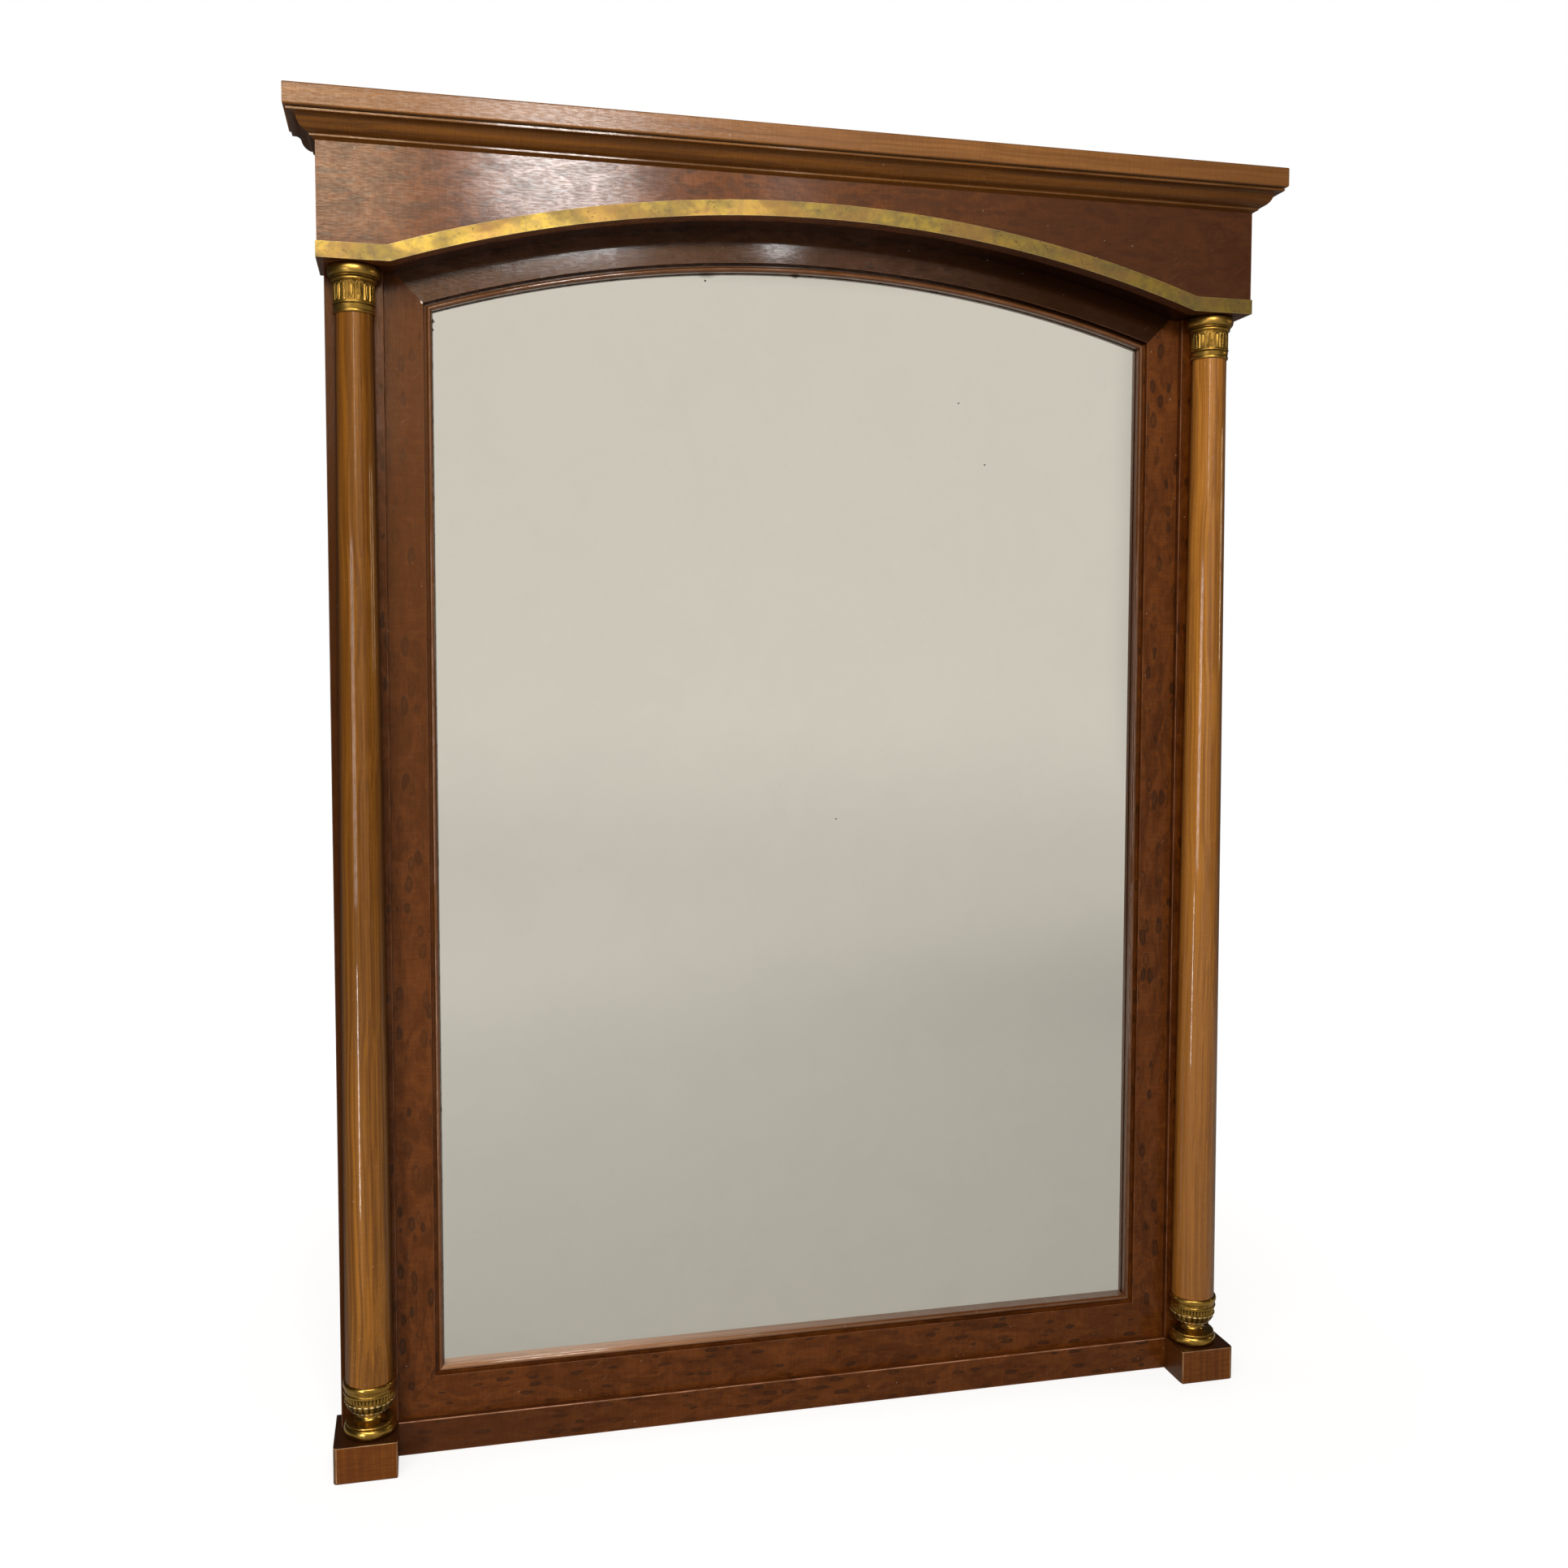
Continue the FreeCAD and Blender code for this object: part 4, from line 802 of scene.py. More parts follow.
joinery = {
    "stileArris": 0.0012, "railArris": 0.0012, "memberArris": 0.0005, "memberWidth": 0.049, "innerDepth": 0.0095,
    "innerThickness": 0.019,
}
for side, word in sides:
    node = "outer_stile_" + word.lower()
    piece = boxSolid(*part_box(node))
    softenArrises(piece, joinery["stileArris"], 3, lambda a, b: abs(a.z - b.z) > 0.5, mark=0.25)
    finishPiece("outerStile" + word, piece, woods["shadedZ"], [node])

low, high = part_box("bottom_rail")
railTop = high.z
piece = boxSolid((-stileInner, low.y, low.z), (stileInner, high.y, high.z))
softenArrises(piece, joinery["railArris"], 3, lambda a, b: abs(a.x - b.x) > 0.5)
finishPiece("bottomRail", piece, woods["railX"], ["bottom_rail"])

opening = {"half": stileInner - joinery["memberWidth"], "low": 0.1004, "rise": 0.0792, "drop": 0.0334, "steps": 72}
openRadius = arcRadius(opening["half"], opening["rise"])
half, low, spring = opening["half"], opening["low"], friezeBottom - opening["drop"]
openTop = spring + opening["rise"]
openCentre = openTop - openRadius
innerFrontY = faceY + joinery["innerDepth"]
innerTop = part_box("inner_arched_rail")[1].z
mitre = spring + stileInner - half


def memberPath(member, offset):
    # line of one member of the opening, drawn in by the offset, as (x, z) points
    half = opening["half"] - offset
    low = opening["low"] + offset
    radius = openRadius - offset
    spring = openCentre + math.sqrt(radius ** 2 - half ** 2)
    return {
        "left": [(-half, low), (-half, spring)], "right": [(half, spring), (half, low)],
        "bottom": [(half, low), (-half, low)], "top": arcPoints(half, openCentre, radius, opening["steps"]),
    }[member]


def memberSolid(profile, member):
    # closed profile of (offset, y) carried along one member, mitred at its ends
    lines = [memberPath(member, offset) for offset, y in profile]
    rings = []
    for i in range(len(lines[0])):
        rings.append([(line[i][0], y, line[i][1]) for line, (offset, y) in zip(lines, profile)])
    return ringSolid(rings)


def isMitre(step):
    return step.length > 0.04 and min(abs(step.x), abs(step.z)) > near


quirk = {
    "width": 0.004, "floor": 0.0075, "beadWidth": 0.0068, "beadHeight": 0.0125, "beadSteps": 12, "crestWearAndHighlight": 0.0011,
}
edge = stileInner                    # outer edge of the inner frame
members = {                          # outline, replaced node, wood
    "left": ([(-edge, railTop), (-half, low), (-half, spring), (-edge, mitre)], "inner_stile_left", "leftZ"),
    "right": ([(half, low), (edge, railTop), (edge, mitre), (half, spring)], "inner_stile_right", "figuredZ"),
    "bottom": ([(-edge, railTop), (edge, railTop), (half, low), (-half, low)], "inner_bottom_rail", "figuredX"),
    "top": ([(-edge, mitre)] + memberPath("top", 0.0) + [(edge, mitre), (edge, innerTop), (-edge, innerTop)],
            "inner_arched_rail", "shadedX"),
}
floorY = innerFrontY + quirk["floor"]
tongueProfile = [(0.0, floorY), (quirk["width"], floorY), (quirk["width"], glassY), (0.0, glassY)]
for member, (outline, node, wood) in members.items():
    piece = softenArrises(
        outlinePrism(outline, innerFrontY, innerFrontY + joinery["innerThickness"]), joinery["memberArris"], 2,
        lambda a, b: max(a.y, b.y) < innerFrontY + near and not isMitre(a - b), mark=0.35)
    tongue = meshData(memberSolid(tongueProfile, member), "tongue")
    piece.from_mesh(tongue)
    bpy.data.meshes.remove(tongue)
    finishPiece("innerFrame" + member.capitalize(), piece, woods[wood], [node])

beads = {
    "left": ("glazing_bead_left", "beadZ"), "right": ("glazing_bead_right", "beadZ"),
    "bottom": ("glazing_bead_bottom", "beadFoot"), "top": ("glazing_bead_arch", "beadX"),
}
radius = quirk["beadWidth"] / 2
crestY = glassY - quirk["beadHeight"]
beadProfile = [(quirk["width"], glassY)]
for i in range(quirk["beadSteps"] + 1):
    turn = math.pi * i / quirk["beadSteps"]
    beadProfile.append((quirk["width"] + radius - radius * math.cos(turn), crestY + radius - radius * math.sin(turn)))
beadProfile.append((quirk["width"] + quirk["beadWidth"], glassY))
for member, (node, wood) in beads.items():
    piece = memberSolid(beadProfile, member)
    # rubbed wear and a painted highlight line along each bead's crest
    layer = loopLayer(piece, "arris")
    for vert in piece.verts:
        for loop in vert.link_loops:
            loop[layer] = max(0.0, 1.0 - (vert.co.y - crestY) / quirk["crestWearAndHighlight"]) * 0.7
    finishPiece("glazingBead" + member.capitalize(), piece, woods[wood], [node])
print("stiles, rails and inner frame made")


# ---- columns

columnShape = {"footRadius": 0.0308, "headRadius": 0.0236, "swell": 0.0004, "rows": 48, "across": 96}


def turnedData(profile, side, across, relief=None, sharp=55.0):
    # engaged turned form: rows of (radius, z), cut flat where it meets the stile; relief gives (height, recess)
    verts, recess, faces = [], [], []
    for radius, z in profile:
        cut = min(1.0, (faceY - columnY) / radius)
        limit = min(math.pi - math.acos(cut), math.radians(179.4))
        for i in range(across + 1):
            turn = -limit + 2 * limit * i / across
            height, dirt = relief(turn, radius, z) if relief else (0.0, 0.0)
            r = radius + height
            verts.append((side * columnX + r * math.sin(turn), min(columnY - r * math.cos(turn), faceY), z))
            recess.append(dirt)
    wide = across + 1
    last = len(verts) - wide
    for a in range(0, last, wide):
        faces += [(a + i, a + i + 1, a + wide + i + 1, a + wide + i) for i in range(across)]
        faces.append((a + across, a, a + wide, a + wide + across))
    faces += [tuple(reversed(range(wide))), tuple(range(last, last + wide))]
    data = bpy.data.meshes.new("turned")
    data.from_pydata(verts, [], faces)
    data.attributes.new("recess", "FLOAT", "POINT").data.foreach_set("value", recess)
    data.update()
    return smoothData(data, sharp)


shaftProfile = []
for i in range(columnShape["rows"] + 1):
    t = i / columnShape["rows"]
    r = between(columnShape["footRadius"], columnShape["headRadius"], t) + columnShape["swell"] * math.sin(math.pi * t)
    shaftProfile.append((r, between(baseHigh.z, capitalLow.z, t)))
for side, word in sides:
    shaft = turnedData(shaftProfile, side, columnShape["across"], sharp=40.0)
    placePiece("columnShaft" + word, shaft, woods["column" + word], ["column_shaft_" + word.lower()])
print("column shafts made")


# ---- gilt capitals

capitalShape = {
    "pitchDegrees": 48.0, "tongueDegrees": -4.5, "across": 400,
    "reliefLow": 0.0142, "reliefHigh": 0.0386, "reliefSteps": 84, "ridge": 0.00062, "ground": 0.0004,
    "stemHalf": 0.0054, "stemLine": 0.00075, "tongueHalf": 0.0037, "tongueLine": 0.00065,
    "tongueWide": 0.0021, "tongueHeight": 0.0009, "huskWide": 0.0022, "huskHeight": 0.0008, "huskPitch": 0.0023,
    "creases": ((0.0090, 0.0112, 0.70), (0.0425, 0.0462, 0.55), (0.0586, 1.0, 0.55)),
}


def raised(foot, points):
    # millimetre points of (radius, height) as metres above a foot level
    return [(r * mm, foot + z * mm) for r, z in points]


zc = capitalLow.z
capitalProfile = raised(zc, [(24.9, 0.0)] + rollPoints(24.9, 0.0, 3.8, 1.0, 8) + [
    (25.2, 4.1), (25.3, 8.0), (25.7, 8.7), (25.7, 9.3), (24.4, 9.5), (24.4, 10.9), (25.0, 11.1)])
capitalProfile += raised(zc, rollPoints(25.1, 11.1, 14.0, 1.3, 8))
for i in range(capitalShape["reliefSteps"] + 1):
    level = between(capitalShape["reliefLow"], capitalShape["reliefHigh"], i / capitalShape["reliefSteps"])
    capitalProfile.append((25.1 * mm, zc + level))
capitalProfile += raised(zc, [(25.6, 38.9), (26.4, 39.3)] + rollPoints(26.4, 39.3, 43.2, 1.7, 8) + [
    (27.0, 43.4), (28.2, 43.8), (28.9, 44.2), (28.9, 45.3), (28.5, 45.6), (29.2, 45.9)])
capitalProfile += raised(zc, rollPoints(29.2, 45.9, 59.0, 3.4, 16) + [(26.2, 59.2)]) + [(26.0 * mm, capitalHigh.z)]


def bandHeight(distance, width):
    # rounded raised line
    return max(0.0, 1.0 - (distance / width) ** 2)


def headShare(t, start):
    # width of a round head that closes between start and 1
    return math.sqrt(max(0.0, 1.0 - max(0.0, (t - start) / (1.0 - start)) ** 2))


def creaseDirt(height, creases):
    return max((dirt for low, high, dirt in creases if low < height < high), default=0.0)


def archDistance(u, v, half, top):
    # distance to an arch outline: upright sides and a round head
    spring = top - half
    if v > spring:
        return abs(math.hypot(u, v - spring) - half)
    return abs(abs(u) - half)


def capitalRelief(turn, radius, z):
    c, v = capitalShape, z - zc
    low, ridge, ground = c["reliefLow"], c["ridge"], c["ground"]
    if v < low - 0.0002 or v > c["reliefHigh"] + 0.0002:
        return 0.0, creaseDirt(v, c["creases"])
    pitch = math.radians(c["pitchDegrees"])
    start = math.radians(c["tongueDegrees"])
    toTongue = abs((turn - start + pitch / 2) % pitch - pitch / 2) * radius
    toStem = abs((turn - start) % pitch - pitch / 2) * radius
    top = c["reliefHigh"] - 0.0008
    stemArch = bandHeight(archDistance(toStem, v, c["stemHalf"], top), c["stemLine"])
    tongueArch = bandHeight(archDistance(toTongue, v, c["tongueHalf"], top - 0.0012), c["tongueLine"])
    height = (ridge + ground) * max(stemArch, tongueArch) - ground
    t = (v - low - 0.0022) / (top - 0.0046 - low - 0.0022)
    if 0.0 < t < 1.0:                # tongue with a pointed foot and a round head
        wide = c["tongueWide"] * min(1.0, t * 2.4) ** 0.8 * headShare(t, 0.86)
        if toTongue < wide:
            swell = c["tongueHeight"] * (1.0 - (toTongue / wide) ** 2) ** 0.5
            height = max(height, swell - 0.00035 * bandHeight(toTongue, 0.0005))
    t = (v - low - 0.0008) / (top - 0.0036 - low)
    if 0.0 < t < 1.0:                # stacked husks on the stem
        wide = c["huskWide"] * (1.0 - 0.55 * t)
        if toStem < wide:
            husk = 0.5 + 0.5 * math.cos((v + 0.45 * toStem) / c["huskPitch"] * 2 * math.pi)
            height = max(height, (0.0003 + c["huskHeight"] * husk) * (1.0 - (toStem / wide) ** 2) ** 0.5)
    height = max(height, ridge * bandHeight(v - low, 0.0008))
    return height, min(1.0, max(0.0, 1.0 - (height + ground) / (ridge + ground)))


for side, word in sides:
    capital = turnedData(capitalProfile, side, capitalShape["across"], capitalRelief)
    placePiece("capital" + word, capital, capitalFinish, ["column_capital_" + word.lower()])
print("capitals made")


# ---- gilt bases

baseShape = {                        # bands, creases and pearl rings in millimetres above the foot
    "lobeBand": (33.6, 44.6), "lobeDegrees": 14.6, "leafBand": (47.0, 54.8), "leafDegrees": 8.65, "across": 360,
    "creases": ((58.2, 62.8, 0.45), (16.8, 18.6, 0.45), (45.6, 47.0, 0.6), (31.5, 33.6, 0.6)),
    "pearlRings": ((45.2, 31.6), (33.5, 24.9)), "pearlCount": 16, "pearlLong": 0.0031, "pearlThick": 0.00105,
}
zb = baseLow.z
rimTop = (baseHigh.z - zb) / mm - 0.2
baseProfile = raised(zb, [(29.0, 0.0)] + rollPoints(29.2, 0.0, 14.5, 4.6, 20))
baseProfile += raised(zb, [(30.6, 14.8), (31.2, 15.4), (31.2, 16.6), (30.4, 17.6)])
baseProfile += raised(zb, curvePoints((29.0, 17.8), (15.6, 18.4), (15.4, 25.8), 18))
baseProfile += raised(zb, curvePoints((15.4, 25.8), (15.6, 30.8), (21.5, 31.6), 10) + [(22.6, 31.8), (23.2, 32.4)])
baseProfile += raised(zb, curvePoints((23.2, 32.4), (30.4, 35.5), (30.9, 44.4), 34))
baseProfile += raised(zb, [(31.4, 44.8), (31.5, 45.8), (30.7, 46.4)])
baseProfile += raised(zb, curvePoints((30.7, 46.4), (30.4, 51.0), (32.2, 55.0), 26) + [(33.0, 55.4), (33.3, 56.4)])
baseProfile += raised(zb, [(33.1, 57.8), (32.0, 58.3), (31.8, 59.0), (31.9, 62.6), (32.3, 63.2)])
baseProfile += raised(zb, rollPoints(32.2, 63.2, rimTop, 1.8, 12)) + [(31.6 * mm, baseHigh.z)]


def baseRelief(turn, radius, z):
    v = (z - zb) / mm
    low, high = baseShape["lobeBand"]
    if low < v < high:               # lobes round the cup
        pitch = math.radians(baseShape["lobeDegrees"])
        part = (turn % pitch) / pitch * 2 - 1
        fade = min(1.0, (v - low) / 1.8) * min(1.0, (high - v) / 1.6)
        swell = math.sqrt(max(0.0, 1.0 - part ** 2))
        return (0.0005 * swell - 0.0003) * fade, fade * min(1.0, 1.35 - swell * 0.8)
    low, high = baseShape["leafBand"]
    if low < v < high:               # small upright leaves
        pitch = math.radians(baseShape["leafDegrees"])
        part = abs((turn % pitch) / pitch * 2 - 1)
        wide = 0.86 * headShare((v - low) / (high - low), 0.45)
        fade = min(1.0, (v - low) / 0.8)
        inside = max(0.0, 1.0 - part / max(wide, 0.05))
        rib = bandHeight(part, 0.16)
        height = 0.0008 * min(1.0, inside * 2.2) - 0.00035 * rib * min(1.0, inside * 2.0) - 0.0003
        return height * fade, fade * min(1.0, max(0.0, 1.0 - inside * 2.4 + 0.5 * rib))
    return 0.0, creaseDirt(v, baseShape["creases"])


def endSolid(w, instances, finish):
    solid = w.wire("GeometryNodeRealizeInstances", {"Geometry": instances}).outputs[0]
    dressed = w.wire("GeometryNodeSetMaterial", {"Geometry": solid, "Material": finish}).outputs[0]
    return endTree(w, "Geometry", Geometry=dressed)


def pearlRingTree():
    # beads set along an arc, one solid bead at each point
    w, given = startTree(
        "pearlRing", "GeometryNodeTree", Count=15, Radius=0.03, Start=0.0, Sweep=4.0, Centre=None, Length=0.002,
        Thickness=0.001, Finish="Material")
    arc = w.wire("GeometryNodeCurveArc", {
        "Resolution": given["Count"], "Radius": given["Radius"], "Start Angle": given["Start"],
        "Sweep Angle": given["Sweep"]})
    points = w.wire("GeometryNodeCurveToPoints", {"Curve": arc.outputs["Curve"]}, mode="EVALUATED").outputs
    bead = w.wire("GeometryNodeMeshIcoSphere", {"Radius": 1.0, "Subdivisions": 2}).outputs["Mesh"]
    size = w.joined(given["Thickness"], given["Thickness"], given["Length"])
    shaped = w.wire("GeometryNodeTransform", {"Geometry": bead, "Scale": size}).outputs[0]
    spread = w.wire("GeometryNodeInstanceOnPoints", {
        "Points": points["Points"], "Instance": shaped, "Rotation": points["Rotation"]}).outputs[0]
    placed = w.wire("GeometryNodeTransform", {"Geometry": spread, "Translation": given["Centre"]}).outputs[0]
    return endSolid(w, placed, given["Finish"])


def runTree(tree, values, places=()):
    # evaluates a tree on a mesh of loose points and keeps the result as plain mesh data
    data = bpy.data.meshes.new("loosePoints")
    data.from_pydata(list(places), [], [])
    holder = addObject("loosePoints", data)
    modifier = holder.modifiers.new("tree", "NODES")
    modifier.node_group = tree
    for item in tree.interface.items_tree:
        if item.item_type == "SOCKET" and item.in_out == "INPUT" and item.name in values:
            modifier[item.identifier] = values[item.name]
    return evaluated(holder)


pearlTree = pearlRingTree()
for side, word in sides:
    base = turnedData(baseProfile, side, baseShape["across"], baseRelief)
    placePiece("columnBase" + word, base, giltFinish, ["column_base_" + word.lower()])
    pearls = bmesh.new()
    sweep = math.radians(baseShape["lobeDegrees"]) * (baseShape["pearlCount"] - 1)
    for level, ringRadius in baseShape["pearlRings"]:
        ring = runTree(pearlTree, {
            "Count": baseShape["pearlCount"], "Radius": ringRadius * mm, "Start": -math.pi / 2 - sweep / 2,
            "Sweep": sweep, "Centre": (side * columnX, columnY, zb + level * mm),
            "Length": baseShape["pearlLong"], "Thickness": baseShape["pearlThick"], "Finish": rubbedAndLitGiltFinish})
        pearls.from_mesh(ring)
        bpy.data.meshes.remove(ring)
    finishPiece("basePearls" + word, pearls, rubbedAndLitGiltFinish, sharp=60.0)
print("bases made")


# ---- plinths

plinthShape = {
    "corner": 0.0046, "innerCorner": 0.0020, "arris": 0.0010, "foot": 0.0032, "footDepth": 0.006, "returnArris": 0.0006,
}


def uprightAt(x, y):
    # chooses the upright edge at one corner of a box
    return lambda a, b: all(abs(p.x - x) < hair and abs(p.y - y) < hair for p in (a, b))


for side, word in sides:
    node = "plinth_block_" + word.lower()
    low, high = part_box(node)
    piece = boxSolid(low, high)
    outer, inner = (high.x, low.x) if side > 0 else (low.x, high.x)
    footBack = low.y + plinthShape["footDepth"]
    softenArrises(piece, plinthShape["corner"], 5, uprightAt(outer, low.y))
    softenArrises(piece, plinthShape["innerCorner"], 4, uprightAt(inner, low.y), mark=0.4)
    softenArrises(
        piece, plinthShape["arris"], 3,
        lambda a, b: min(a.z, b.z) > high.z - hair and max(a.y, b.y) < high.y - near, 60.0)
    softenArrises(
        piece, plinthShape["foot"], 3,
        lambda a, b: max(a.z, b.z) < low.z + hair and max(a.y, b.y) < footBack, 60.0, 0.0)
    # painted shade on the top, the rounded outer corner, the foot bevel and the inner side
    shadeFaces(piece, lambda normal, centre: normal.z > 0.9)
    shadeFaces(piece, lambda normal, centre: 0.35 < normal.x * side < 0.99 and abs(normal.z) < 0.1, 0.75)
    shadeFaces(piece, lambda normal, centre: -0.99 < normal.z < -0.35, 0.75)
    shadeFaces(piece, lambda normal, centre: normal.x * side < -0.95, 0.55)
    finishPiece("plinthBlock" + word, piece, woods["plinthZ"], [node])
    node = "plinth_return_" + word.lower()
    piece = softenArrises(boxSolid(*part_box(node)), plinthShape["returnArris"])
    # painted shade on the top and sides of the return
    shadeFaces(piece, lambda normal, centre: normal.z > 0.9)
    shadeFaces(piece, lambda normal, centre: abs(normal.x) > 0.9, 0.6)
    finishPiece("plinthReturn" + word, piece, woods["plinthY"], [node])
print("plinths made")


# ---- back boards and screws

backLook = {
    "boardEdge": 0.0016, "endInset": 0.045, "headRadius": 0.0036, "headTop": 0.0029, "headRise": 0.0007,
    "slotWidth": 0.0009, "slotDepth": 0.0005, "seed": 4,
}
screwX = (stileInner + opening["half"]) / 2
screwPlaces = []
for word in ("Lower", "Middle", "Upper"):
    node = "back_board_" + word.lower()
    low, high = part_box(node)
    piece = softenArrises(
        boxSolid(low, high), backLook["boardEdge"], 2, lambda a, b: min(a.y, b.y) > high.y - hair, mark=0.5)
    finishPiece("backBoard" + word, piece, woods["soft" + word], [node])
    for z in (low.z + backLook["endInset"], (low.z + high.z) / 2, high.z - backLook["endInset"]):
        screwPlaces += [(-screwX, high.y, z), (screwX, high.y, z)]
for x in (-opening["half"] / 2, 0.0, opening["half"] / 2):
    screwPlaces += [(x, high.y, (railTop + opening["low"]) / 2), (x, high.y, (openTop + high.z) / 2)]


def screwHeadTree():
    # low slotted heads at the given points, each stopped at its own angle
    w, given = startTree(
        "screwHeads", "GeometryNodeTree", Points="Geometry", Radius=0.0036, Top=0.0029, Rise=0.0007, Slot=0.0009,
        Depth=0.0005, Seed=4, Finish="Material")
    head = w.wire("GeometryNodeMeshCone", {
        "Vertices": 28, "Radius Top": given["Top"], "Radius Bottom": given["Radius"],
        "Depth": given["Rise"]}).outputs["Mesh"]
    size = w.joined(w.times(given["Radius"], 2.4), given["Slot"], w.times(given["Depth"], 2.0))
    bar = w.wire("GeometryNodeMeshCube", {"Size": size}).outputs["Mesh"]
    lift = w.joined(0.0, 0.0, given["Rise"])
    cutter = w.wire("GeometryNodeTransform", {"Geometry": bar, "Translation": lift}).outputs[0]
    cut = w.wire("GeometryNodeMeshBoolean", {"Mesh 1": head, "Mesh 2": cutter}, operation="DIFFERENCE").outputs["Mesh"]
    facing = w.wire("GeometryNodeTransform", {"Geometry": cut, "Rotation": (math.radians(-90), 0.0, 0.0)}).outputs[0]
    turn = w.wire("FunctionNodeRandomValue", {
        0: (0.0, -1.5, 0.0), 1: (0.0, 1.5, 0.0), "Seed": given["Seed"]}, data_type="FLOAT_VECTOR").outputs[0]
    dots = w.wire("GeometryNodeMeshToPoints", {"Mesh": given["Points"]}).outputs[0]
    spread = w.wire("GeometryNodeInstanceOnPoints", {"Points": dots, "Instance": facing, "Rotation": turn}).outputs[0]
    return endSolid(w, spread, given["Finish"])


heads = runTree(screwHeadTree(), {
    "Radius": backLook["headRadius"], "Top": backLook["headTop"], "Rise": backLook["headRise"],
    "Slot": backLook["slotWidth"], "Depth": backLook["slotDepth"], "Seed": backLook["seed"],
    "Finish": steelFinish}, screwPlaces)
heads.shade_flat()
placePiece("backBoardScrews", heads, steelFinish, ["back_board_screws"])
print("back boards and screws made")


# ---- mirror glass

glassLook = {
    "silver": (0.885, 0.88, 0.835), "blotch": (0.74, 0.75, 0.72), "speck": (0.35, 0.33, 0.30), "rough": 0.010,
    "decay": (0.110, 0.100, 0.090), "edgeWidth": 0.0010, "edgeWander": 0.006, "footShift": 0.002, "ragged": 0.0045,
    "line": (0.012, 0.009, 0.007), "lineWidth": 0.0022,
    "patches": [                     # x, z and radius
        (-0.1370, 1.6085, 0.0300), (-0.1370, 1.5745, 0.0016), (-0.0120, 1.5980, 0.0130), (-0.4990, 1.5010, 0.0036),
        (-0.4990, 1.4900, 0.0026), (0.2274, 1.4253, 0.0013), (0.2674, 1.3401, 0.0012), (0.0497, 0.8383, 0.0011),
    ],
}


def makeSilver(look):
    material, w, surface, place = startMaterial("silveredGlass")
    parts = w.parts(place)
    sight = quirk["width"] + quirk["beadWidth"]
    toSide = w.minus(opening["half"] - sight, w.maths("ABSOLUTE", parts[0]))
    toFoot = w.minus(parts[2], opening["low"] + sight)
    above = w.minus(parts[2], openCentre)
    square = w.plus(w.times(parts[0], parts[0]), w.times(above, above))
    toHead = w.minus(openRadius - sight, w.maths("SQRT", square))
    nearest = w.maths("MINIMUM", w.maths("MINIMUM", toSide, toHead), w.plus(toFoot, look["footShift"]))
    uneven = w.times(w.minus(w.noise(place, 60.0, 5.0, 0.7), 0.52), look["edgeWander"])
    decay = w.ease(w.minus(nearest, uneven), 0.0, look["edgeWidth"], 1.0, 0.0)
    for x, z, radius in look["patches"]:
        ragged = min(1.3, look["ragged"] / radius)
        spot = w.group(spotGroup, Vector=place, Place=(x, glassY, z), Radius=radius, Ragged=ragged)["Mask"]
        decay = w.maths("MAXIMUM", decay, spot)
    old = w.group(metalGroup, Vector=place, Blotch=9.0, Speck=260.0)
    colour = w.over(look["silver"], look["blotch"], old["Blotches"], 0.10)
    colour = w.over(colour, look["speck"], old["Specks"], 0.05)
    colour = w.blend(decay, colour, look["decay"])
    colour = w.blend(w.ease(nearest, 0.0, look["lineWidth"], 1.0, 0.0), colour, look["line"])
    gloss = w.plus(w.times(decay, 0.05), look["rough"])
    dressSurface(w, surface, colour, gloss, (w.noise(place, 6.0, 2.0), 0.05, 0.001), {"Metallic": 1.0})
    return material


silverFinish = makeSilver(glassLook)
print("mirror glass finish made")


# ---- finishes of the nodes that keep their own shape

keptNodes = {
    "mirror_glass": silverFinish, "brass_trim_pins": brassFinish, "hanger_screws": steelFinish,
    "frieze_end_left": woods["figuredY"], "frieze_end_right": woods["figuredY"],
    "soffit_arch_left": woods["soffitX"], "soffit_arch_centre": woods["soffitX"], "soffit_arch_right": woods["soffitX"],
    "soffit_flat_left": woods["soffitX"], "soffit_flat_right": woods["soffitX"],
    "cap_board": woods["softX"], "top_rail": woods["softRail"],
    "frieze_glue_blocks": woods["softX"], "glass_packers": woods["softX"],
    "hanger_plate_left": hangerFinish, "hanger_plate_right": hangerFinish,
    "hanger_ring_left": hangerFinish, "hanger_ring_right": hangerFinish,
}
for node, material in keptNodes.items():
    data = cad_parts[node].data
    data.materials.clear()
    data.materials.append(material)
    for face in data.polygons:
        face.material_index = 0
print("kept nodes dressed")


# ---- studio

studio = {
    "white": (1.0, 1.0, 1.0), "warmWhite": (1.0, 0.94, 0.83), "frontAmbient": 0.10, "rearAmbient": 0.60,
    "ambientTurn": (-0.4, 0.6), "glossAmbient": 0.035, "floorTone": 0.26, "floorNear": 0.80, "floorFade": (0.6, 2.2),
    "wallGlow": 0.56, "halfWidth": 7.0, "ground": ((7.0, 0.0), (-3.7, 0.0)), "bend": ((-4.9, 0.0), (-4.9, 1.2)),
    "bendSteps": 14, "wallTop": (-4.9, 4.2),
    "wallEdges": (                   # axis, the two ends of the change and the glow at each
        (2, 0.0, 0.9, 0.76, 1.0), (2, 2.84, 3.12, 1.0, 0.06), (1, -4.4, -1.8, 1.0, 0.50),
        (0, -1.30, -0.65, 0.08, 1.0), (0, 2.85, 3.30, 1.0, 0.15),
    ),
}
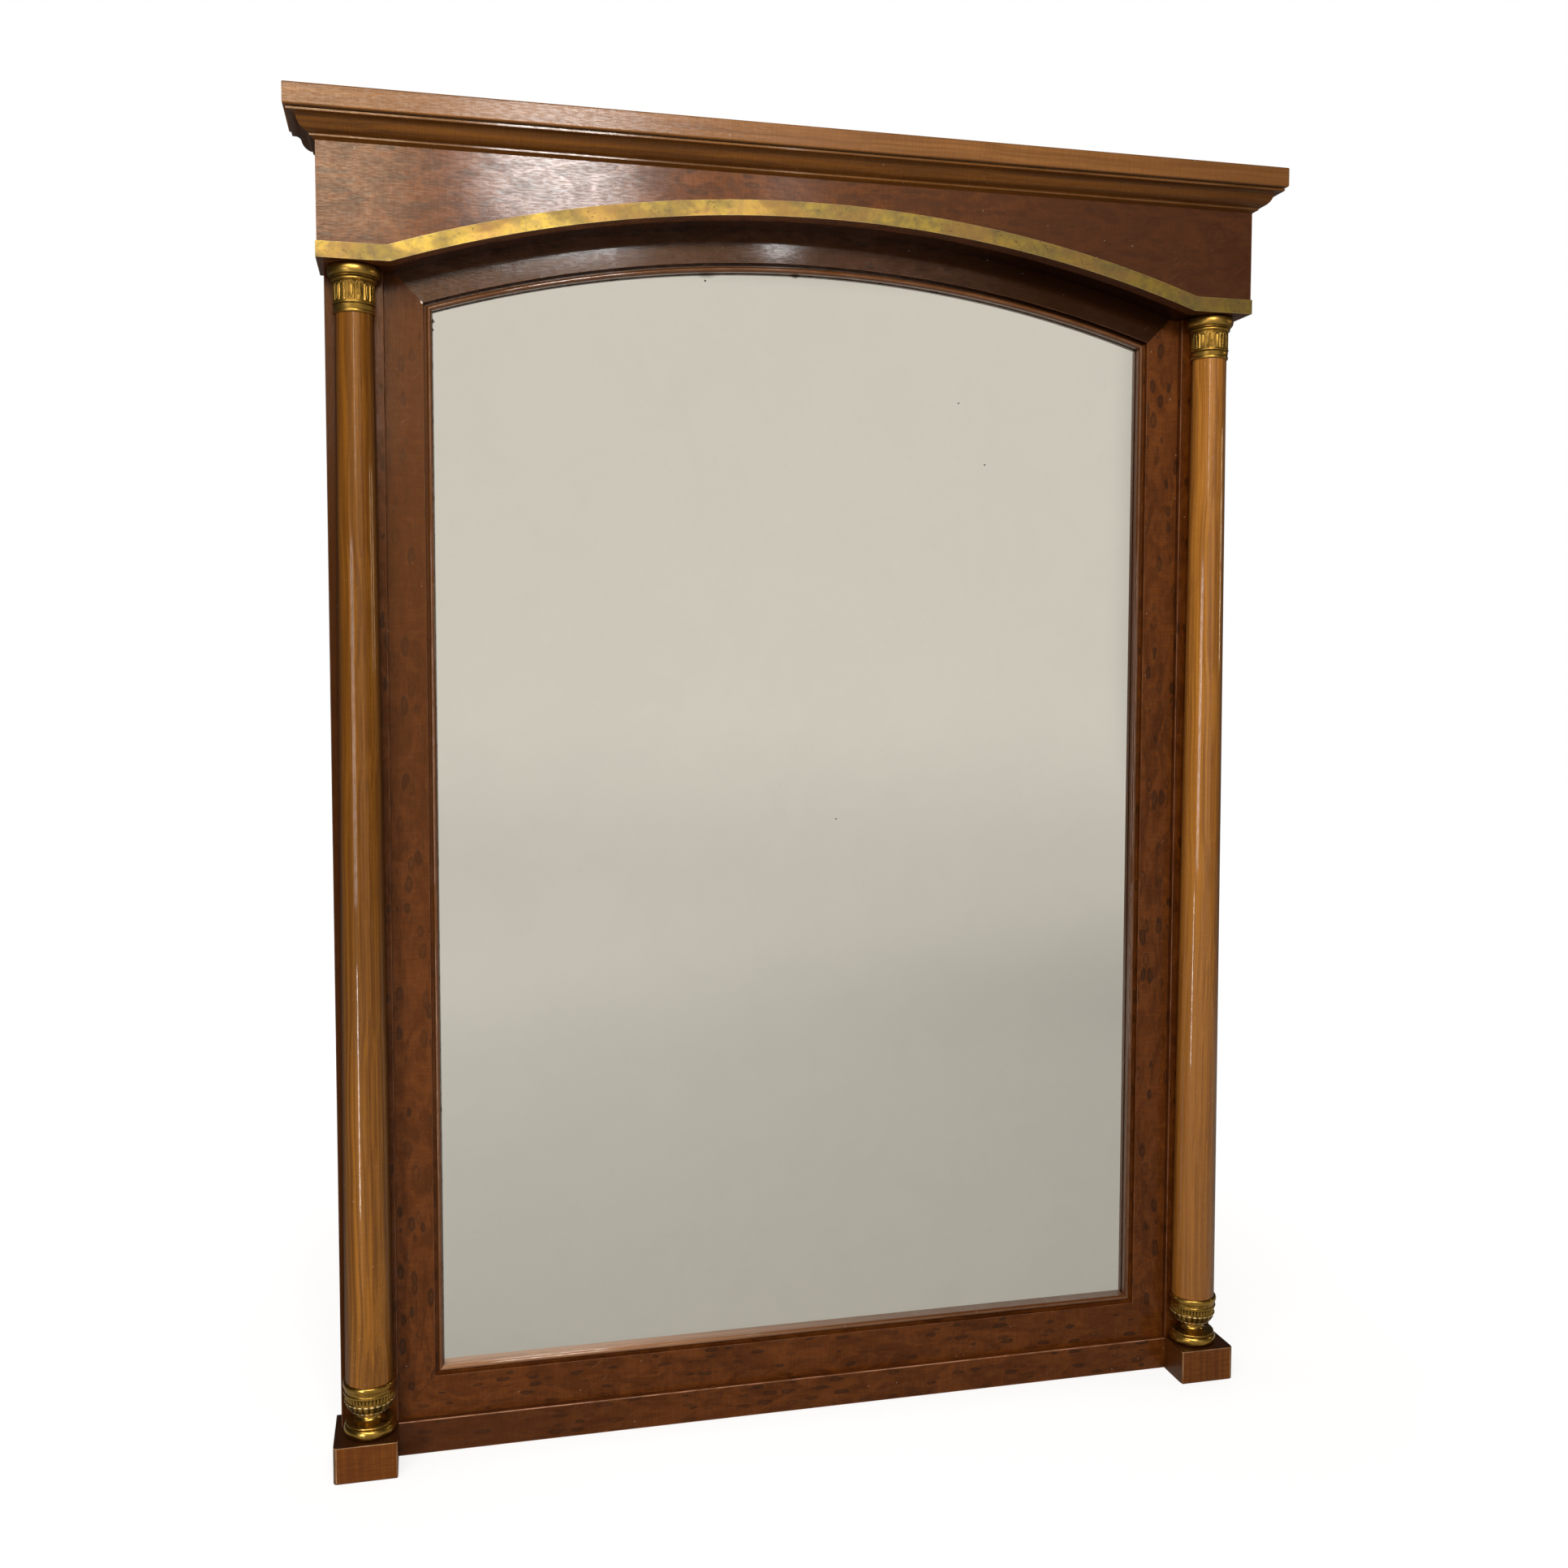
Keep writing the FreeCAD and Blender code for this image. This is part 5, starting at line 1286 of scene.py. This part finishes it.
panels = {                           # place, aim, size, power, colour
    "key": ((-0.04, -3.40, 2.84), (0.0, 0.0, 1.2), (0.46, 0.46), 44.0, (1.0, 1.0, 1.0)),
    "left": ((-1.00, -3.40, 2.80), (0.0, 0.0, 1.2), (0.90, 0.55), 26.0, (1.0, 0.80, 0.56)),
    "top": ((-1.60, -2.40, 3.20), (0.0, 0.0, 0.7), (2.0, 1.0), 47.0, (1.0, 1.0, 1.0)),
    "fill": ((-2.20, -2.60, 0.90), (0.0, 0.0, 0.8), (1.0, 1.2), 17.0, (1.0, 1.0, 1.0)),
    "streak": ((-0.82, -3.40, 2.10), (-0.6, 0.0, 1.4), (0.22, 0.70), 3.2, (1.0, 1.0, 1.0)),
    "side": ((3.60, -0.55, 1.48), (-0.6, -0.05, 1.2), (0.11, 0.80), 5.0, (1.0, 0.86, 0.62)),
    "slit": ((0.79, -3.40, 2.80), (0.0, 0.0, 1.66), (0.07, 0.44), 1.6, (1.0, 1.0, 1.0)),
    "glint": ((0.10, -2.00, 3.10), (0.0, 0.0, 0.10), (1.2, 0.08), 8.0, (1.0, 0.86, 0.62)),
    "low": ((-1.14, -0.92, 0.16), (-0.55, 0.0, 0.62), (0.08, 0.62), 3.6, (1.0, 1.0, 1.0)),
}
for name, (place, aim, size, power, colour) in panels.items():
    data = bpy.data.lights.new(name + "Panel", "AREA")
    data.color = colour
    data.shape = "RECTANGLE"
    data.size, data.size_y = size
    data.energy = power
    lamp = addObject(name + "Panel", data)
    lamp.location = place
    lamp.rotation_euler = (Vector(aim) - Vector(place)).to_track_quat("-Z", "Y").to_euler()

world = bpy.data.worlds.new("paleStudio")
bpy.context.scene.world = world
world.use_nodes = True
w = treeWiring(world.node_tree)
w.tree.nodes.clear()
rays = w.wire("ShaderNodeLightPath").outputs
direction = w.parts(w.wire("ShaderNodeTexCoord").outputs["Generated"])
ambient = w.ease(direction[1], *studio["ambientTurn"], studio["frontAmbient"], studio["rearAmbient"])
ambient = w.choose(rays["Is Glossy Ray"], ambient, studio["glossAmbient"])
level = w.choose(rays["Is Camera Ray"], ambient, 1.0)
glow = w.wire("ShaderNodeBackground", {0: rgba(studio["white"]), 1: level})
w.wire("ShaderNodeOutputWorld", {0: glow.outputs[0]})


def makeGround(tone):
    # pale ground; the camera sees it lifted to white, and the far wall glows softly up to a height
    material, w, surface, place = startMaterial("paleGround")
    parts = w.parts(place)
    rays = w.wire("ShaderNodeLightPath").outputs
    away = w.vector("DISTANCE", place, (0.0, 0.0, 0.0))[1]
    lift = w.ease(away, *studio["floorFade"], studio["floorNear"], 1.0)
    glow = w.times(w.plus(w.times(rays["Is Glossy Ray"], 0.65), 0.35), studio["wallGlow"])
    for axis, start, end, first, last in studio["wallEdges"]:
        glow = w.times(glow, w.ease(parts[axis], start, end, first, last))
    w.feed(surface, {
        "Base Color": (tone, tone * 0.985, tone * 0.955, 1.0), "Roughness": 0.9, "Specular IOR Level": 0.1,
        "Emission Color": w.blend(rays["Is Camera Ray"], studio["warmWhite"], studio["white"]),
        "Emission Strength": w.choose(rays["Is Camera Ray"], glow, lift)})
    return material


bend = curvePoints(studio["ground"][-1], *studio["bend"], studio["bendSteps"])
line = [*studio["ground"], *bend, studio["wallTop"]]
mesh = bmesh.new()
rows = [[mesh.verts.new((x, y, z)) for y, z in line] for x in (-studio["halfWidth"], studio["halfWidth"])]
for i in range(len(line) - 1):
    mesh.faces.new((rows[0][i], rows[1][i], rows[1][i + 1], rows[0][i + 1]))
bmesh.ops.recalc_face_normals(mesh, faces=mesh.faces)
data = meshData(mesh, "studioGround")
data.shade_smooth()
data.materials.append(makeGround(studio["floorTone"]))
addObject("studioGround", data)
print("studio ready")
